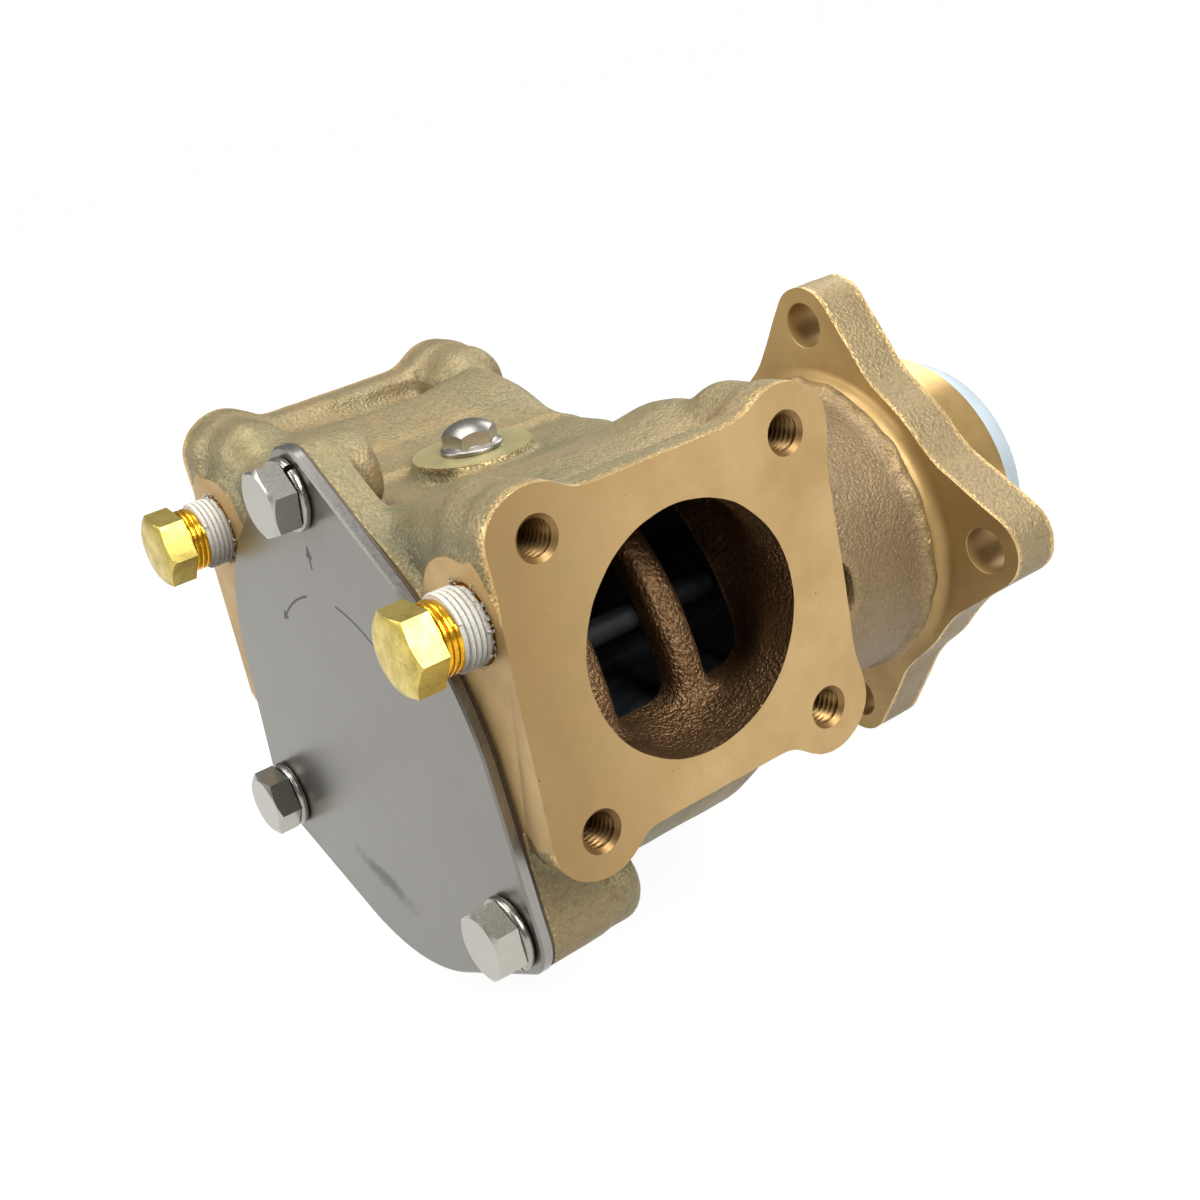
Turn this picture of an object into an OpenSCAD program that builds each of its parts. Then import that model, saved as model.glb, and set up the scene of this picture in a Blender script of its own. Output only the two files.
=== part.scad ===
// Flexible-impeller seawater pump with a four-ear drive flange, in millimetres.
// The origin is on the shaft axis, in the plane of the drive flange's mounting face.
// +Y runs along the shaft to the drive end, +Z to the cam, and X through both ports.

/* [Body] */
// Length from the machined front face to the drive flange's mounting face
body_len = 141; // [139:1:160]
// Radius of the bore that the impeller turns in
chamber_r = 41; // [40:0.5:42]
// Wall of the barrel round the chamber
barrel_wall = 5; // [4:0.5:6]
// Radius of the rim behind the cover
rim_r = 51.4; // [50:0.1:53]
// Depth of the rim and of the front web
rim_len = 14; // [10:1:18]
// Radius of the cover screws' circle
cover_bolt_r = 52.9; // [52:0.1:54]
// Radius of each cover screw's lug
lug_r = 9.2; // [8:0.1:10]
// Depth of each lug behind the front face
lug_len = 23; // [18:1:24]
// Radius of the pedestal round the bearings
pedestal_r = 35.5; // [34:0.5:37]
// Thickness of the wall behind the chamber
back_wall = 8; // [6:0.5:10]

/* [Ports] */
// Radius of each port's bore
port_r = 23.5; // [20:0.5:24]
// Height of the ports above the shaft
port_z = 21.6; // [20:0.1:23]
// Distance from the front face back to the ports
port_from_front = 38; // [37:0.1:39]
// Distance from the shaft out to each port's face
port_face_x = 62.5; // [61:0.5:68]
// Thickness of each port's flange
port_flange_t = 8; // [6:0.5:10]
// Side of the square of bolt holes in each port's face
port_bolt_span = 55.6; // [53:0.1:56]
// Radius of the flange's corners
port_corner_r = 9; // [8:0.1:9.2]
// How far the flange's top and bottom edges draw in between its corners
port_waist = 3.8; // [1:0.1:4.5]
// Length of the boss behind each port bolt hole, with its round end
port_boss_len = 24; // [20:1:28]
// Height of the necks' flat roof over the shaft, next to the flanges
neck_roof_z = 52.8; // [50:0.1:53]
// Half of each neck's length along the shaft
neck_half = 34.2; // [32:0.1:34.5]
// Half of the length of each port's window into the chamber
window_half = 28.7; // [26:0.1:28.8]
// Width of each rib across a port's window
rib_w = 8; // [6:0.5:10]
// Thickness of each rib
rib_t = 6.5; // [5:0.5:7]
// Distance between the two ribs' centres
rib_pitch = 21.6; // [20:0.2:24]

/* [Cover] */
// Thickness of the cover plate
cover_t = 2.5; // [2:0.1:4]
// Thickness of the cover's gasket
gasket_t = 0.5; // [0.3:0.1:1]
// Thread radius of the cover screws
cover_screw_r = 4; // [3:0.5:4]
// Width across flats of the cover screws' heads
cover_head_af = 13; // [11:0.5:13]
// Height of the cover screws' heads
cover_head_h = 5.3; // [4:0.1:6]
// Length of the cover screws under the head
cover_screw_len = 18; // [14:1:20]
// Thickness of the spring washers
washer_t = 2; // [1.5:0.1:2.5]
// Outer radius of the spring washers
washer_r = 7.3; // [6.6:0.1:7.6]

/* [Cam] */
// Height of the cam at its middle
cam_h = 6.5; // [5:0.5:7]
// Half of the angle that the cam spans
cam_half_angle = 33; // [30:1:35]
// Half of the angle of the cam's concentric middle
cam_land_angle = 18; // [14:1:22]
// Distance from the front face back to the cam screw
cam_screw_from_front = 37; // [35:0.5:39]
// Thread radius of the cam screw
cam_screw_r = 3; // [2.5:0.5:3]
// Radius of the machined boss under the cam screw
cam_boss_r = 12.5; // [11:0.5:14]
// Height of the cam screw's boss above the barrel
cam_boss_h = 2.6; // [2.5:0.1:4]
// Width across flats of the cam screw's head
cam_head_af = 10; // [8:0.5:10]

/* [Plugs] */
// Radius of the pipe plugs' thread
plug_r = 6.85; // [6.5:0.05:7]
// Distance of each plug from the pump's middle plane
plug_x = 52; // [51:0.5:54]
// Height of each plug above the shaft
plug_z = 36; // [34:0.5:37]
// Width across flats of the plugs' hexagon
plug_af = 14.3; // [13:0.1:16]
// Length of the plugs' hexagon
plug_hex_len = 6.5; // [5:0.5:8]
// Thread left standing out of the front face
plug_neck = 9; // [7:0.5:11]
// Length of the thread inside the body
plug_depth = 9; // [7:0.5:10]
// Thickness of the wound sealing tape
tape_t = 0.45; // [0.3:0.05:0.7]

/* [Impeller] */
// Length of the rubber impeller
impeller_len = 63; // [60:0.5:64]
// Number of blades
blade_count = 12; // [10:2:12]
// Angle of the first blade, from the right port's side
blade_phase = 25; // [0:5:25]
// Thickness of a blade at its root
blade_root_t = 5; // [4:0.25:5.5]
// Radius of the bulb along each blade's tip
blade_bulb_r = 2.8; // [2.4:0.1:3]
// Radius of the rubber hub
impeller_hub_r = 20; // [19:0.5:21]
// Outer radius of the bronze bushing in the impeller
bushing_r = 15.5; // [14.5:0.5:16]
// Gap between the impeller and the parts round it
impeller_gap = 0.3; // [0.3:0.05:0.5]
// Thickness of the wear plate
wear_t = 2.4; // [2:0.2:3]

/* [Drive flange] */
// Thickness of the drive flange
drive_t = 12; // [10:0.5:14]
// Diameter of the drive flange's bolt circle
drive_pcd = 95.2; // [94:0.1:98]
// Radius of the drive flange's bolt holes
drive_hole_r = 5.25; // [4.25:0.25:5.5]
// Radius of each ear's end
ear_r = 9.3; // [9:0.1:10]
// Radius of the flange between its ears
drive_r = 39.3; // [39:0.1:40.5]
// Radius of the circle that the ears' sides are tangent to
ear_side_r = 35; // [34:0.5:36]
// Radius of the blend between an ear and the flange
ear_blend_r = 9; // [4:0.5:10]
// Radius of the machined pilot
pilot_r = 32; // [31.5:0.1:33]
// Length of the pilot past the mounting face
pilot_len = 16; // [15:0.5:20]

/* [Shaft and bearings] */
// Radius of the shaft
shaft_r = 10; // [9.5:0.5:10.5]
// Outer radius of both bearings
bearing_r = 26; // [25:0.5:26]
// Width of each bearing
bearing_w = 15; // [14:0.5:15]
// Distance of the rear bearing's outer face past the mounting face
rear_bearing_y = 9; // [8:0.5:9.5]
// Distance between the two bearings
bearing_gap = 8; // [6:0.5:10]
// Number of balls in each bearing
ball_count = 7; // [6:1:7]
// Diameter of a ball
ball_d = 9.3; // [8.5:0.1:9.4]
// Shaft length past the pilot's end
shaft_stub = 7; // [4:0.5:8]
// Number of splines on the shaft's drive end
spline_count = 12; // [8:1:14]

/* [Cap] */
// How far the protective cap's edge lies over the pilot's end
cap_lip = 1.1; // [0.8:0.1:2]
// Length of the cap past the pilot
cap_len = 10; // [9.5:0.5:14]
// Wall of the cap
cap_wall = 1.6; // [1.2:0.1:2]

/* [Hidden] */
$fn = 64;

// Clearances
fit_gap = 0.05;
slip_gap = 0.3;
embed = 1;
// Straight sides run this far inside the arcs that they are tangent to
tangent_inset = 0.02;

// Places along the shaft
front_y = -body_len;
chamber_back_y = front_y + impeller_len + 2 * impeller_gap + wear_t;
barrel_back_y = chamber_back_y + back_wall;
port_y = front_y + port_from_front;
cam_y = front_y + cam_screw_from_front;
drive_front_y = -drive_t;
rear_bearing_front_y = rear_bearing_y - bearing_w;
front_bearing_back_y = rear_bearing_front_y - bearing_gap;
front_bearing_y = front_bearing_back_y - bearing_w;

// Shaft shoulder, lip seal and weep chamber in front of the bearings
shoulder_t = 2;
shoulder_r = shaft_r + 2.5;
lip_seal_w = 7;
lip_seal_r = shaft_r + 7.5;
lip_seal_back_y = front_bearing_y - shoulder_t;
lip_seal_y = lip_seal_back_y - lip_seal_w;
ledge_t = 1.2;
weep_back_y = lip_seal_y - ledge_t;
weep_r = 26;

// Mechanical seal behind the wear plate
seal_cavity_r = 22;
seat_cup_r = 19.5;
seat_r = 17;
seat_t = 8;
seal_head_len = 10;
face_t = 4;
seat_y = chamber_back_y + seal_head_len;
seat_back_y = seat_y + seat_t;
weep_y = seat_back_y + ledge_t;
shaft_hole_r = shaft_r + 3;

// Weep slots
weep_slot_w = weep_back_y - weep_y - 2;
weep_slot_h = 14;

// Radii that follow from the driving sizes
barrel_r = chamber_r + barrel_wall;
cam_boss_z = barrel_r + cam_boss_h;
blade_tip_r = chamber_r - impeller_gap;
cam_inner_r = chamber_r - cam_h;
port_bolt_half = port_bolt_span / 2;
flange_half = port_bolt_half + port_corner_r;
waist_half = flange_half - port_waist;
waist_blend_r = 8;
web_top = port_z + 10;
web_bottom = port_z - 25.2;
neck_floor_z = port_z - 27;
neck_y = port_y - 2.2;
window_y = port_y - 3.2;
rib_y = port_y - 1.7;
window_low_z = 0.8;
port_boss_r = port_corner_r - 0.4;
ball_r = ball_d / 2;
groove_r = ball_r + slip_gap;
ball_pitch_r = (bearing_r + shaft_r) / 2;
race_inner_r = ball_pitch_r - 3.4;
race_outer_r = ball_pitch_r + 3.4;
cage_half_t = 1.4;
cage_half_w = ball_r + 1.2;

// Tapped holes: drill radius, chamfer radius and depth
m8_drill_r = 3.4;
m8_chamfer_r = 3.85;
port_tap_depth = 18;
plug_hole_depth = 21;
cover_tap_depth = cover_screw_len - cover_t - gasket_t - washer_t + 1;

// Cover screw angles, seen from the front
cover_angles = [90, 210, 330];

// Gap in each spring washer
washer_split = 0.9;

// Circlips
circlip_t = 1.5;
circlip_groove_r = bearing_r + 1.2;
cap_seat_r = bearing_r + 2.5;
cap_r = cap_seat_r + cap_lip;
cap_seat_y = pilot_len - 3.5;

// A plate that is drawn in X and Z, from y0 to y0 + t
module plate_y(y0, t) {
    translate([0, y0 + t, 0]) rotate([90, 0, 0]) linear_extrude(t) children();
}

// A plate that is drawn in Y and Z, from x0 to x0 + t
module plate_x(x0, t) {
    translate([x0, 0, 0]) rotate([90, 0, 90]) linear_extrude(t) children();
}

// A solid turned about the shaft axis, drawn as radius and Y
module turned_y() {
    rotate([-90, 0, 0]) rotate_extrude() children();
}

// A round bar on the shaft axis
module bar_y(y0, y1, r) {
    translate([0, y0, 0]) rotate([-90, 0, 0]) cylinder(h = y1 - y0, r = r);
}

// A plain ring on the shaft axis
module ring_y(y0, y1, r_in, r_out) {
    difference() {
        bar_y(y0, y1, r_out);
        bar_y(y0 - embed, y1 + embed, r_in);
    }
}

// The same thing on the right and, mirrored, on the left
module both_sides() {
    children();
    mirror([1, 0, 0]) children();
}

// A small circle at distance d along +X, joined by straight tangents to a big one at the origin
module teardrop(big_r, small_r, d) {
    a = acos((big_r - small_r) / d);
    big = big_r - tangent_inset;
    small = small_r - tangent_inset;
    translate([d, 0]) circle(small_r);
    polygon([
        [0, 0],
        [big * cos(a), -big * sin(a)],
        [d + small * cos(a), -small * sin(a)],
        [d + small * cos(a), small * sin(a)],
        [big * cos(a), big * sin(a)]
    ]);
}

// Outline of the cover and of the rim behind it, drawn in X and Z
module cover_outline(grow = 0) {
    circle(rim_r + grow);
    for (a = cover_angles)
        rotate(a) teardrop(rim_r + grow, lug_r + grow, cover_bolt_r);
}

// Places children at each cover screw, on the plane y
module at_cover_screws(y) {
    for (a = cover_angles)
        translate([cover_bolt_r * cos(a), y, cover_bolt_r * sin(a)]) children();
}

// Places children at each bolt hole of the right port, at x
module at_port_bolts(x) {
    for (sy = [-1, 1], sz = [-1, 1])
        translate([x, port_y + sy * port_bolt_half, port_z + sz * port_bolt_half]) children();
}

// One blend from a corner circle at [c, c] down to the edge line at height w
module corner_blend(c, w) {
    rise = w + waist_blend_r - c;
    centre = [c - sqrt(pow(port_corner_r + waist_blend_r, 2) - pow(rise, 2)), w + waist_blend_r];
    difference() {
        polygon([[c, c], centre, [centre[0], w - embed], [c, w - embed]]);
        translate(centre) circle(waist_blend_r + tangent_inset);
    }
}

// Outline of a port's flange, drawn in Y and Z about the port's axis, with the front web's edge
module port_flange_outline() {
    square([2 * (flange_half - tangent_inset), port_bolt_span], center = true);
    square([port_bolt_span, 2 * waist_half], center = true);
    translate([-port_from_front - embed, web_bottom - port_z])
        square([port_from_front + embed, web_top - web_bottom]);
    for (q = [0:3])
        rotate(90 * q) translate([port_bolt_half, port_bolt_half]) circle(port_corner_r);
    for (q = [0, 2]) {
        rotate(90 * q) {
            corner_blend(port_bolt_half, waist_half);
            mirror([1, 0]) corner_blend(port_bolt_half, waist_half);
        }
    }
}

// Outline of the drive flange: a round middle with four blended ears
module drive_outline() {
    a = acos((ear_side_r - ear_r) / (drive_pcd / 2));
    reach = drive_r + ear_blend_r;
    blend_a = a + acos((ear_side_r + ear_blend_r) / reach);
    centre = [reach * cos(blend_a), reach * sin(blend_a)];
    touch = centre - (ear_blend_r + embed) * [cos(a), sin(a)];
    circle(drive_r);
    for (q = [0:3]) {
        rotate(90 * q) {
            teardrop(ear_side_r, ear_r, drive_pcd / 2);
            for (m = [0, 1]) {
                mirror([0, m]) difference() {
                    polygon([[0, 0], touch, centre]);
                    translate(centre) circle(ear_blend_r + tangent_inset);
                }
            }
        }
    }
}

// Four short rods at the corners of a box section across X, from y0 to y1 and z0 to z1
module box_section(x, y0, y1, z0, z1, r) {
    for (y = [y0 + r, y1 - r], z = [z0 + r, z1 - r])
        translate([x, y, z]) rotate([0, 90, 0]) cylinder(h = embed, r = r, $fn = 48);
}

// Outside of a port's neck: a box with round edges whose roof falls towards the cam screw
module neck_outside() {
    y0 = neck_y - neck_half;
    y1 = neck_y + neck_half;
    hull() {
        box_section(port_face_x - port_flange_t, y0, y1, neck_floor_z, neck_roof_z, 9);
        box_section(chamber_r * 0.75, y0, y1, neck_floor_z, neck_roof_z - 1.6, 9);
        box_section(5, y0, y1, neck_floor_z, barrel_r + 0.4, 9);
    }
}

// Inside of a port's neck: a box at the chamber that turns round towards the bored flange
module neck_inside() {
    y0 = window_y - window_half;
    y1 = window_y + window_half;
    hull() {
        translate([0, port_y, port_z]) plate_x(port_face_x - port_flange_t + embed, embed)
            circle(port_r - 2.2, $fn = 48);
        box_section(chamber_r - embed, y0, y1, window_low_z, neck_roof_z - 8, 7);
        box_section(chamber_r * 0.63, y0 + 0.6, y1 - 0.5, window_low_z + 0.4, neck_roof_z - 8.7, 7);
    }
}

// Round-edged ribs that bridge the ports' windows, as rings about the shaft
module window_ribs() {
    edge_r = 2.5;
    for (s = [-1, 1])
        turned_y() translate([0, rib_y + s * rib_pitch / 2]) {
            translate([chamber_r - embed, -rib_w / 2]) square([rib_t + embed - edge_r, rib_w]);
            translate([chamber_r - embed, edge_r - rib_w / 2]) square([rib_t + embed, rib_w - 2 * edge_r]);
            for (e = [-1, 1])
                translate([chamber_r + rib_t - edge_r, e * (rib_w / 2 - edge_r)]) circle(edge_r);
        }
}

// The water's way from each port's face to the chamber
module port_passages() {
    both_sides() {
        translate([0, port_y, port_z]) plate_x(port_face_x - port_flange_t, port_flange_t + embed)
            circle(port_r);
        difference() {
            neck_inside();
            window_ribs();
        }
    }
}

// Bosses behind the port bolt holes, with round ends
module port_bosses() {
    round_end = port_boss_len - port_boss_r;
    at_port_bolts(port_face_x - round_end) {
        sphere(port_boss_r);
        rotate([0, 90, 0]) cylinder(h = round_end - embed, r = port_boss_r - tangent_inset);
    }
}

// Outside of the barrel and pedestal, turned about the shaft
module turned_casting() {
    shoulder_blend = 10;
    turned_y() {
        translate([0, front_y + embed]) square([barrel_r, barrel_back_y - shoulder_blend - front_y - embed]);
        translate([0, front_y + embed]) square([barrel_r - shoulder_blend, barrel_back_y - front_y - embed]);
        translate([barrel_r - shoulder_blend, barrel_back_y - shoulder_blend]) circle(shoulder_blend);
        translate([0, barrel_back_y - embed]) square([pedestal_r, -barrel_back_y]);
        translate([pedestal_r - 0.6, drive_front_y - 4.5]) circle(2);
        translate([0, -embed]) square([pilot_r, pilot_len + embed - 1]);
        translate([0, -embed]) square([pilot_r - 1, pilot_len + embed]);
    }
}

// The web that carries the front face out to the port flanges and round the plugs
module front_web() {
    pad_r = 11.6;
    plate_y(front_y, rim_len) {
        translate([-port_face_x + embed, web_bottom])
            square([2 * (port_face_x - embed), web_top - web_bottom]);
        for (s = [-1, 1])
            translate([s * (plug_x - 2), plug_z - 0.5]) circle(pad_r);
    }
}

// Bores along the shaft, from the seal cavity to the pilot's end
module shaft_bores() {
    bar_y(chamber_back_y - embed, seat_y, seal_cavity_r);
    bar_y(seat_y - embed, seat_back_y, seat_cup_r);
    bar_y(seat_back_y - embed, weep_y + embed, shaft_hole_r);
    bar_y(weep_y, weep_back_y, weep_r);
    bar_y(weep_back_y - embed, lip_seal_y + embed, shaft_hole_r);
    bar_y(lip_seal_y, front_bearing_y + embed, lip_seal_r);
    bar_y(front_bearing_y, pilot_len + embed, bearing_r);
    bar_y(rear_bearing_y, rear_bearing_y + circlip_t, circlip_groove_r);
    bar_y(cap_seat_y, pilot_len + embed, cap_seat_r);
}

// A blind tapped hole along -Z from the origin, with its chamfer
module tapped_hole(depth, drill_r, chamfer_r) {
    translate([0, 0, -depth]) cylinder(h = depth + embed, r = drill_r);
    translate([0, 0, drill_r - chamfer_r]) cylinder(h = chamfer_r - drill_r, r1 = drill_r, r2 = chamfer_r);
}

module pump_body() {
    color("#b08d57") difference() {
        union() {
            turned_casting();
            plate_y(front_y, rim_len) cover_outline();
            cover_lugs();
            front_web();
            both_sides() {
                neck_outside();
                port_bosses();
                translate([0, port_y, port_z]) plate_x(port_face_x - port_flange_t, port_flange_t)
                    port_flange_outline();
            }
            translate([0, cam_y, chamber_r]) cylinder(h = cam_boss_z - chamber_r, r = cam_boss_r);
            plate_y(drive_front_y, drive_t) drive_outline();
        }
        front_facing();
        bar_y(front_y - embed, chamber_back_y, chamber_r);
        shaft_bores();
        port_passages();
        body_holes();
    }
}

// Round lugs that the cover screws go into, tapering at their back ends
module cover_lugs() {
    straight = lug_len - lug_r / 2;
    side_r = lug_r - 0.5;
    at_cover_screws(front_y + embed) rotate([-90, 0, 0]) cylinder(h = straight - embed, r = side_r);
    at_cover_screws(front_y + straight) rotate([-90, 0, 0])
        cylinder(h = lug_r / 2, r1 = side_r, r2 = lug_r / 2);
}

// What machining takes off in front of the front face
module front_facing() {
    side = 4 * port_face_x;
    translate([-side / 2, front_y - side, -side / 2]) cube(side);
}

// Screw, plug, cam and bolt holes, and the weep slots
module body_holes() {
    hole_r = cover_screw_r + fit_gap;
    at_cover_screws(front_y) rotate([90, 0, 0]) tapped_hole(cover_tap_depth, hole_r, hole_r + 0.8);
    both_sides() {
        at_port_bolts(port_face_x) rotate([0, 90, 0]) tapped_hole(port_tap_depth, m8_drill_r, m8_chamfer_r);
        translate([plug_x, front_y, plug_z]) rotate([90, 0, 0])
            tapped_hole(plug_hole_depth, plug_r + fit_gap, plug_r + 0.8);
        translate([pedestal_r, (weep_y + weep_back_y) / 2, 0])
            cube([pedestal_r, weep_slot_w, weep_slot_h], center = true);
    }
    translate([0, cam_y, chamber_r - embed]) cylinder(h = cam_boss_z, r = cam_screw_r + fit_gap);
    for (q = [0:3])
        rotate([0, 90 * q, 0]) translate([0, drive_front_y - embed, drive_pcd / 2])
            rotate([-90, 0, 0]) cylinder(h = drive_t + 2 * embed, r = drive_hole_r);
    translate([0, chamber_back_y - embed, wear_pin_z]) rotate([-90, 0, 0])
        cylinder(h = wear_pin_depth + embed, r = wear_pin_r + fit_gap);
}

// Cover plate, gasket and their screws
module cover_plate() {
    color("#8f8f8c") difference() {
        plate_y(front_y - gasket_t - cover_t, cover_t) cover_outline();
        at_cover_screws(front_y - gasket_t - cover_t - embed) rotate([-90, 0, 0])
            cylinder(h = cover_t + 2 * embed, r = cover_screw_r + 0.5);
    }
}

module cover_gasket() {
    color("#5b5148") difference() {
        plate_y(front_y - gasket_t, gasket_t) cover_outline(-0.3);
        bar_y(front_y - gasket_t - embed, front_y + embed, chamber_r + 1);
        at_cover_screws(front_y - gasket_t - embed) rotate([-90, 0, 0])
            cylinder(h = gasket_t + 2 * embed, r = cover_screw_r + 0.5);
    }
}

// A hexagon head with its flats' width, chamfered at the free end, from the origin along +Z
module hex_head(af, h) {
    intersection() {
        cylinder(h = h, r = af / sqrt(3), $fn = 6);
        union() {
            cylinder(h = h - af * 0.06, r = af);
            translate([0, 0, h - af * 0.06]) cylinder(h = af * 0.06, r1 = af * 0.59, r2 = af * 0.49);
        }
    }
}

module cover_screws() {
    head_y = front_y - gasket_t - cover_t - washer_t;
    color("#a9a9a6") at_cover_screws(head_y) {
        rotate([90, 15, 0]) hex_head(cover_head_af, cover_head_h);
        rotate([-90, 0, 0]) cylinder(h = cover_screw_len, r = cover_screw_r);
    }
}

// Split spring washers: flat rings with a slanting cut
module spring_washers() {
    washer_y = front_y - gasket_t - cover_t - washer_t;
    color("#9a9a98") at_cover_screws(washer_y) difference() {
        ring_y(0, washer_t, cover_screw_r + 0.2, washer_r);
        translate([washer_r / 2 + 1, washer_t / 2, 0]) rotate([35, 0, 0])
            cube([washer_r, 4 * washer_t, washer_split], center = true);
    }
}

// Crescent cam: a concentric land with a ramp at each end, drawn in X and Z
module cam_outline() {
    far = 2 * chamber_r;
    land = cam_inner_r * [sin(cam_land_angle), cos(cam_land_angle)];
    wall = chamber_r * [sin(cam_half_angle), cos(cam_half_angle)];
    past = wall + (wall - land) / norm(wall - land);
    difference() {
        circle(chamber_r);
        circle(cam_inner_r);
        polygon([
            land, past, [far, past[1]], [far, -far],
            [-far, -far], [-far, past[1]], [-past[0], past[1]], [-land[0], land[1]]
        ]);
    }
}

module cam() {
    color("#b5905a") difference() {
        plate_y(front_y, impeller_len + 2 * impeller_gap) cam_outline();
        translate([0, cam_y, cam_inner_r + 1]) cylinder(h = cam_h + embed, r = cam_screw_r + fit_gap);
    }
}

module cam_screw() {
    washer_flange_h = 1.3;
    head_h = 6;
    dome_r = cam_head_af * 0.75;
    shank_len = cam_boss_z - cam_inner_r - 1.5;
    color("#b4b4b0") translate([0, cam_y, cam_boss_z]) {
        cylinder(h = washer_flange_h, r = cam_head_af * 0.65);
        intersection() {
            cylinder(h = head_h, r = cam_head_af / sqrt(3), $fn = 6);
            translate([0, 0, head_h - dome_r]) sphere(dome_r);
        }
        translate([0, 0, -shank_len]) cylinder(h = shank_len, r = cam_screw_r);
    }
}

// A brass pipe plug: thread inside the body, thread standing out, then the hexagon
module pipe_plug() {
    translate([plug_x, front_y, plug_z]) {
        translate([0, -plug_neck, 0]) rotate([-90, 0, 0]) cylinder(h = plug_neck + plug_depth, r = plug_r);
        translate([0, -plug_neck, 0]) rotate([90, 0, 0]) hex_head(plug_af, plug_hex_len);
    }
}

module plug_right() {
    color("#d8bf3f") pipe_plug();
}

module plug_left() {
    color("#d8bf3f") mirror([1, 0, 0]) pipe_plug();
}

// White sealing tape wound on the plug's thread
module thread_tape() {
    tape_len = plug_neck * 0.62;
    translate([plug_x, 0, plug_z]) ring_y(front_y - tape_len, front_y, plug_r, plug_r + tape_t);
}

module thread_tape_right() {
    color("#f0f0ee") thread_tape();
}

module thread_tape_left() {
    color("#f0f0ee") mirror([1, 0, 0]) thread_tape();
}

// Wear plate behind the impeller, and the pin that stops it turning
wear_pin_r = 1.5;
wear_pin_z = -(chamber_r - 5);
wear_pin_depth = 4;

module wear_plate() {
    wear_y = chamber_back_y - wear_t;
    color("#9b9b98") difference() {
        bar_y(wear_y, chamber_back_y, chamber_r - fit_gap);
        bar_y(wear_y - embed, chamber_back_y + embed, shaft_r + 6);
        translate([0, wear_y - embed, wear_pin_z]) rotate([-90, 0, 0])
            cylinder(h = wear_t + 2 * embed, r = wear_pin_r + fit_gap);
    }
}

module wear_plate_pin() {
    pin_y = chamber_back_y - wear_t + 0.2;
    color("#9b9b98") translate([0, pin_y, wear_pin_z]) rotate([-90, 0, 0])
        cylinder(h = wear_t + wear_pin_depth - 0.4, r = wear_pin_r);
}

// A rubber blade in X and Z: root at angle a, tip circle on radius tip_r, trailing by lag degrees
module blade(a, tip_r, lag) {
    knee_a = a + lag / 4;
    root = (impeller_hub_r - embed) * [cos(a), sin(a)];
    knee = (impeller_hub_r + 5) * [cos(knee_a), sin(knee_a)];
    tip = (tip_r - blade_bulb_r) * [cos(a + lag), sin(a + lag)];
    root_side = blade_root_t / 2 * across(knee - root);
    knee_side = blade_root_t * 0.42 * across(tip - root);
    tip_side = blade_root_t * 0.36 * across(tip - knee);
    polygon([
        root + root_side, root - root_side, knee - knee_side,
        tip - tip_side, tip + tip_side, knee + knee_side
    ]);
    translate(tip) circle(blade_bulb_r);
}

// The unit vector square to v
function across(v) = [-v[1], v[0]] / norm(v);

// Twelve blades: those that meet the cam are bent back under it
module impeller() {
    blade_step = 360 / blade_count;
    bent_reach = cam_half_angle + 12;
    color("#1d1d1f") difference() {
        plate_y(front_y + impeller_gap, impeller_len) {
            circle(impeller_hub_r);
            for (i = [0:blade_count - 1]) {
                a = blade_step * i + blade_phase;
                off = abs(((a - 90 + 540) % 360) - 180);
                under_cam = off < bent_reach;
                blade(a, under_cam ? cam_inner_r - impeller_gap : blade_tip_r, under_cam ? 17 : 0);
            }
        }
        bar_y(front_y, front_y + impeller_len + embed, bushing_r);
    }
}

// Bushing moulded into the impeller, driven by a key in the shaft
key_w = 6;
key_half_h = 3;
key_len = 40;
key_y = front_y + 12;

module key_slot(grow) {
    translate([-key_w / 2 - grow, key_y - grow, shaft_r - key_half_h - grow])
        cube([key_w + 2 * grow, key_len + 2 * grow, 2 * key_half_h + 2 * grow]);
}

module impeller_bushing() {
    bush_y = front_y + impeller_gap + 3;
    color("#b5905a") difference() {
        ring_y(bush_y, front_y + impeller_gap + impeller_len, shaft_r + fit_gap, bushing_r);
        key_slot(0);
        translate([-key_w / 2, bush_y - embed, 0])
            cube([key_w, key_y - bush_y + embed, shaft_r + key_half_h]);
    }
}

module impeller_key() {
    color("#a9a9a6") key_slot(0);
}

module shaft() {
    shaft_front_y = front_y + 5;
    shaft_end_y = pilot_len + shaft_stub;
    spline_root_r = shaft_r * 0.78;
    spline_y = rear_bearing_y + circlip_t + 1;
    groove_y = rear_bearing_y + 0.1;
    color("#b9b9b6") difference() {
        union() {
            bar_y(shaft_front_y, spline_y, shaft_r);
            translate([0, shaft_front_y - 1, 0]) rotate([-90, 0, 0])
                cylinder(h = 1, r1 = shaft_r - 1, r2 = shaft_r);
            bar_y(lip_seal_back_y + 0.2, front_bearing_y, shoulder_r);
            plate_y(spline_y - embed, shaft_end_y - spline_y + embed) {
                circle(spline_root_r);
                for (i = [0:spline_count - 1])
                    rotate(360 / spline_count * i) translate([0, -1]) square([shaft_r - 0.3, 2]);
            }
        }
        key_slot(0);
        ring_y(groove_y, groove_y + 1.2, shaft_r - 0.8, shaft_r + embed);
        translate([0, shaft_end_y - 6, 0]) rotate([-90, 0, 0]) cylinder(h = 7, r = 2);
    }
}

// Mechanical seal: fixed ceramic seat in its rubber cup, and the turning carbon face
module seal_seat() {
    color("#e8e4d8") ring_y(seat_y, seat_back_y - 1, shaft_r + 1, seat_r);
}

module seal_seat_cup() {
    color("#232324") difference() {
        bar_y(seat_y + 1, seat_back_y, seat_cup_r);
        bar_y(seat_y, seat_back_y - 1, seat_r);
        bar_y(seat_y, seat_back_y + embed, shaft_r + 1.5);
    }
}

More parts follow.
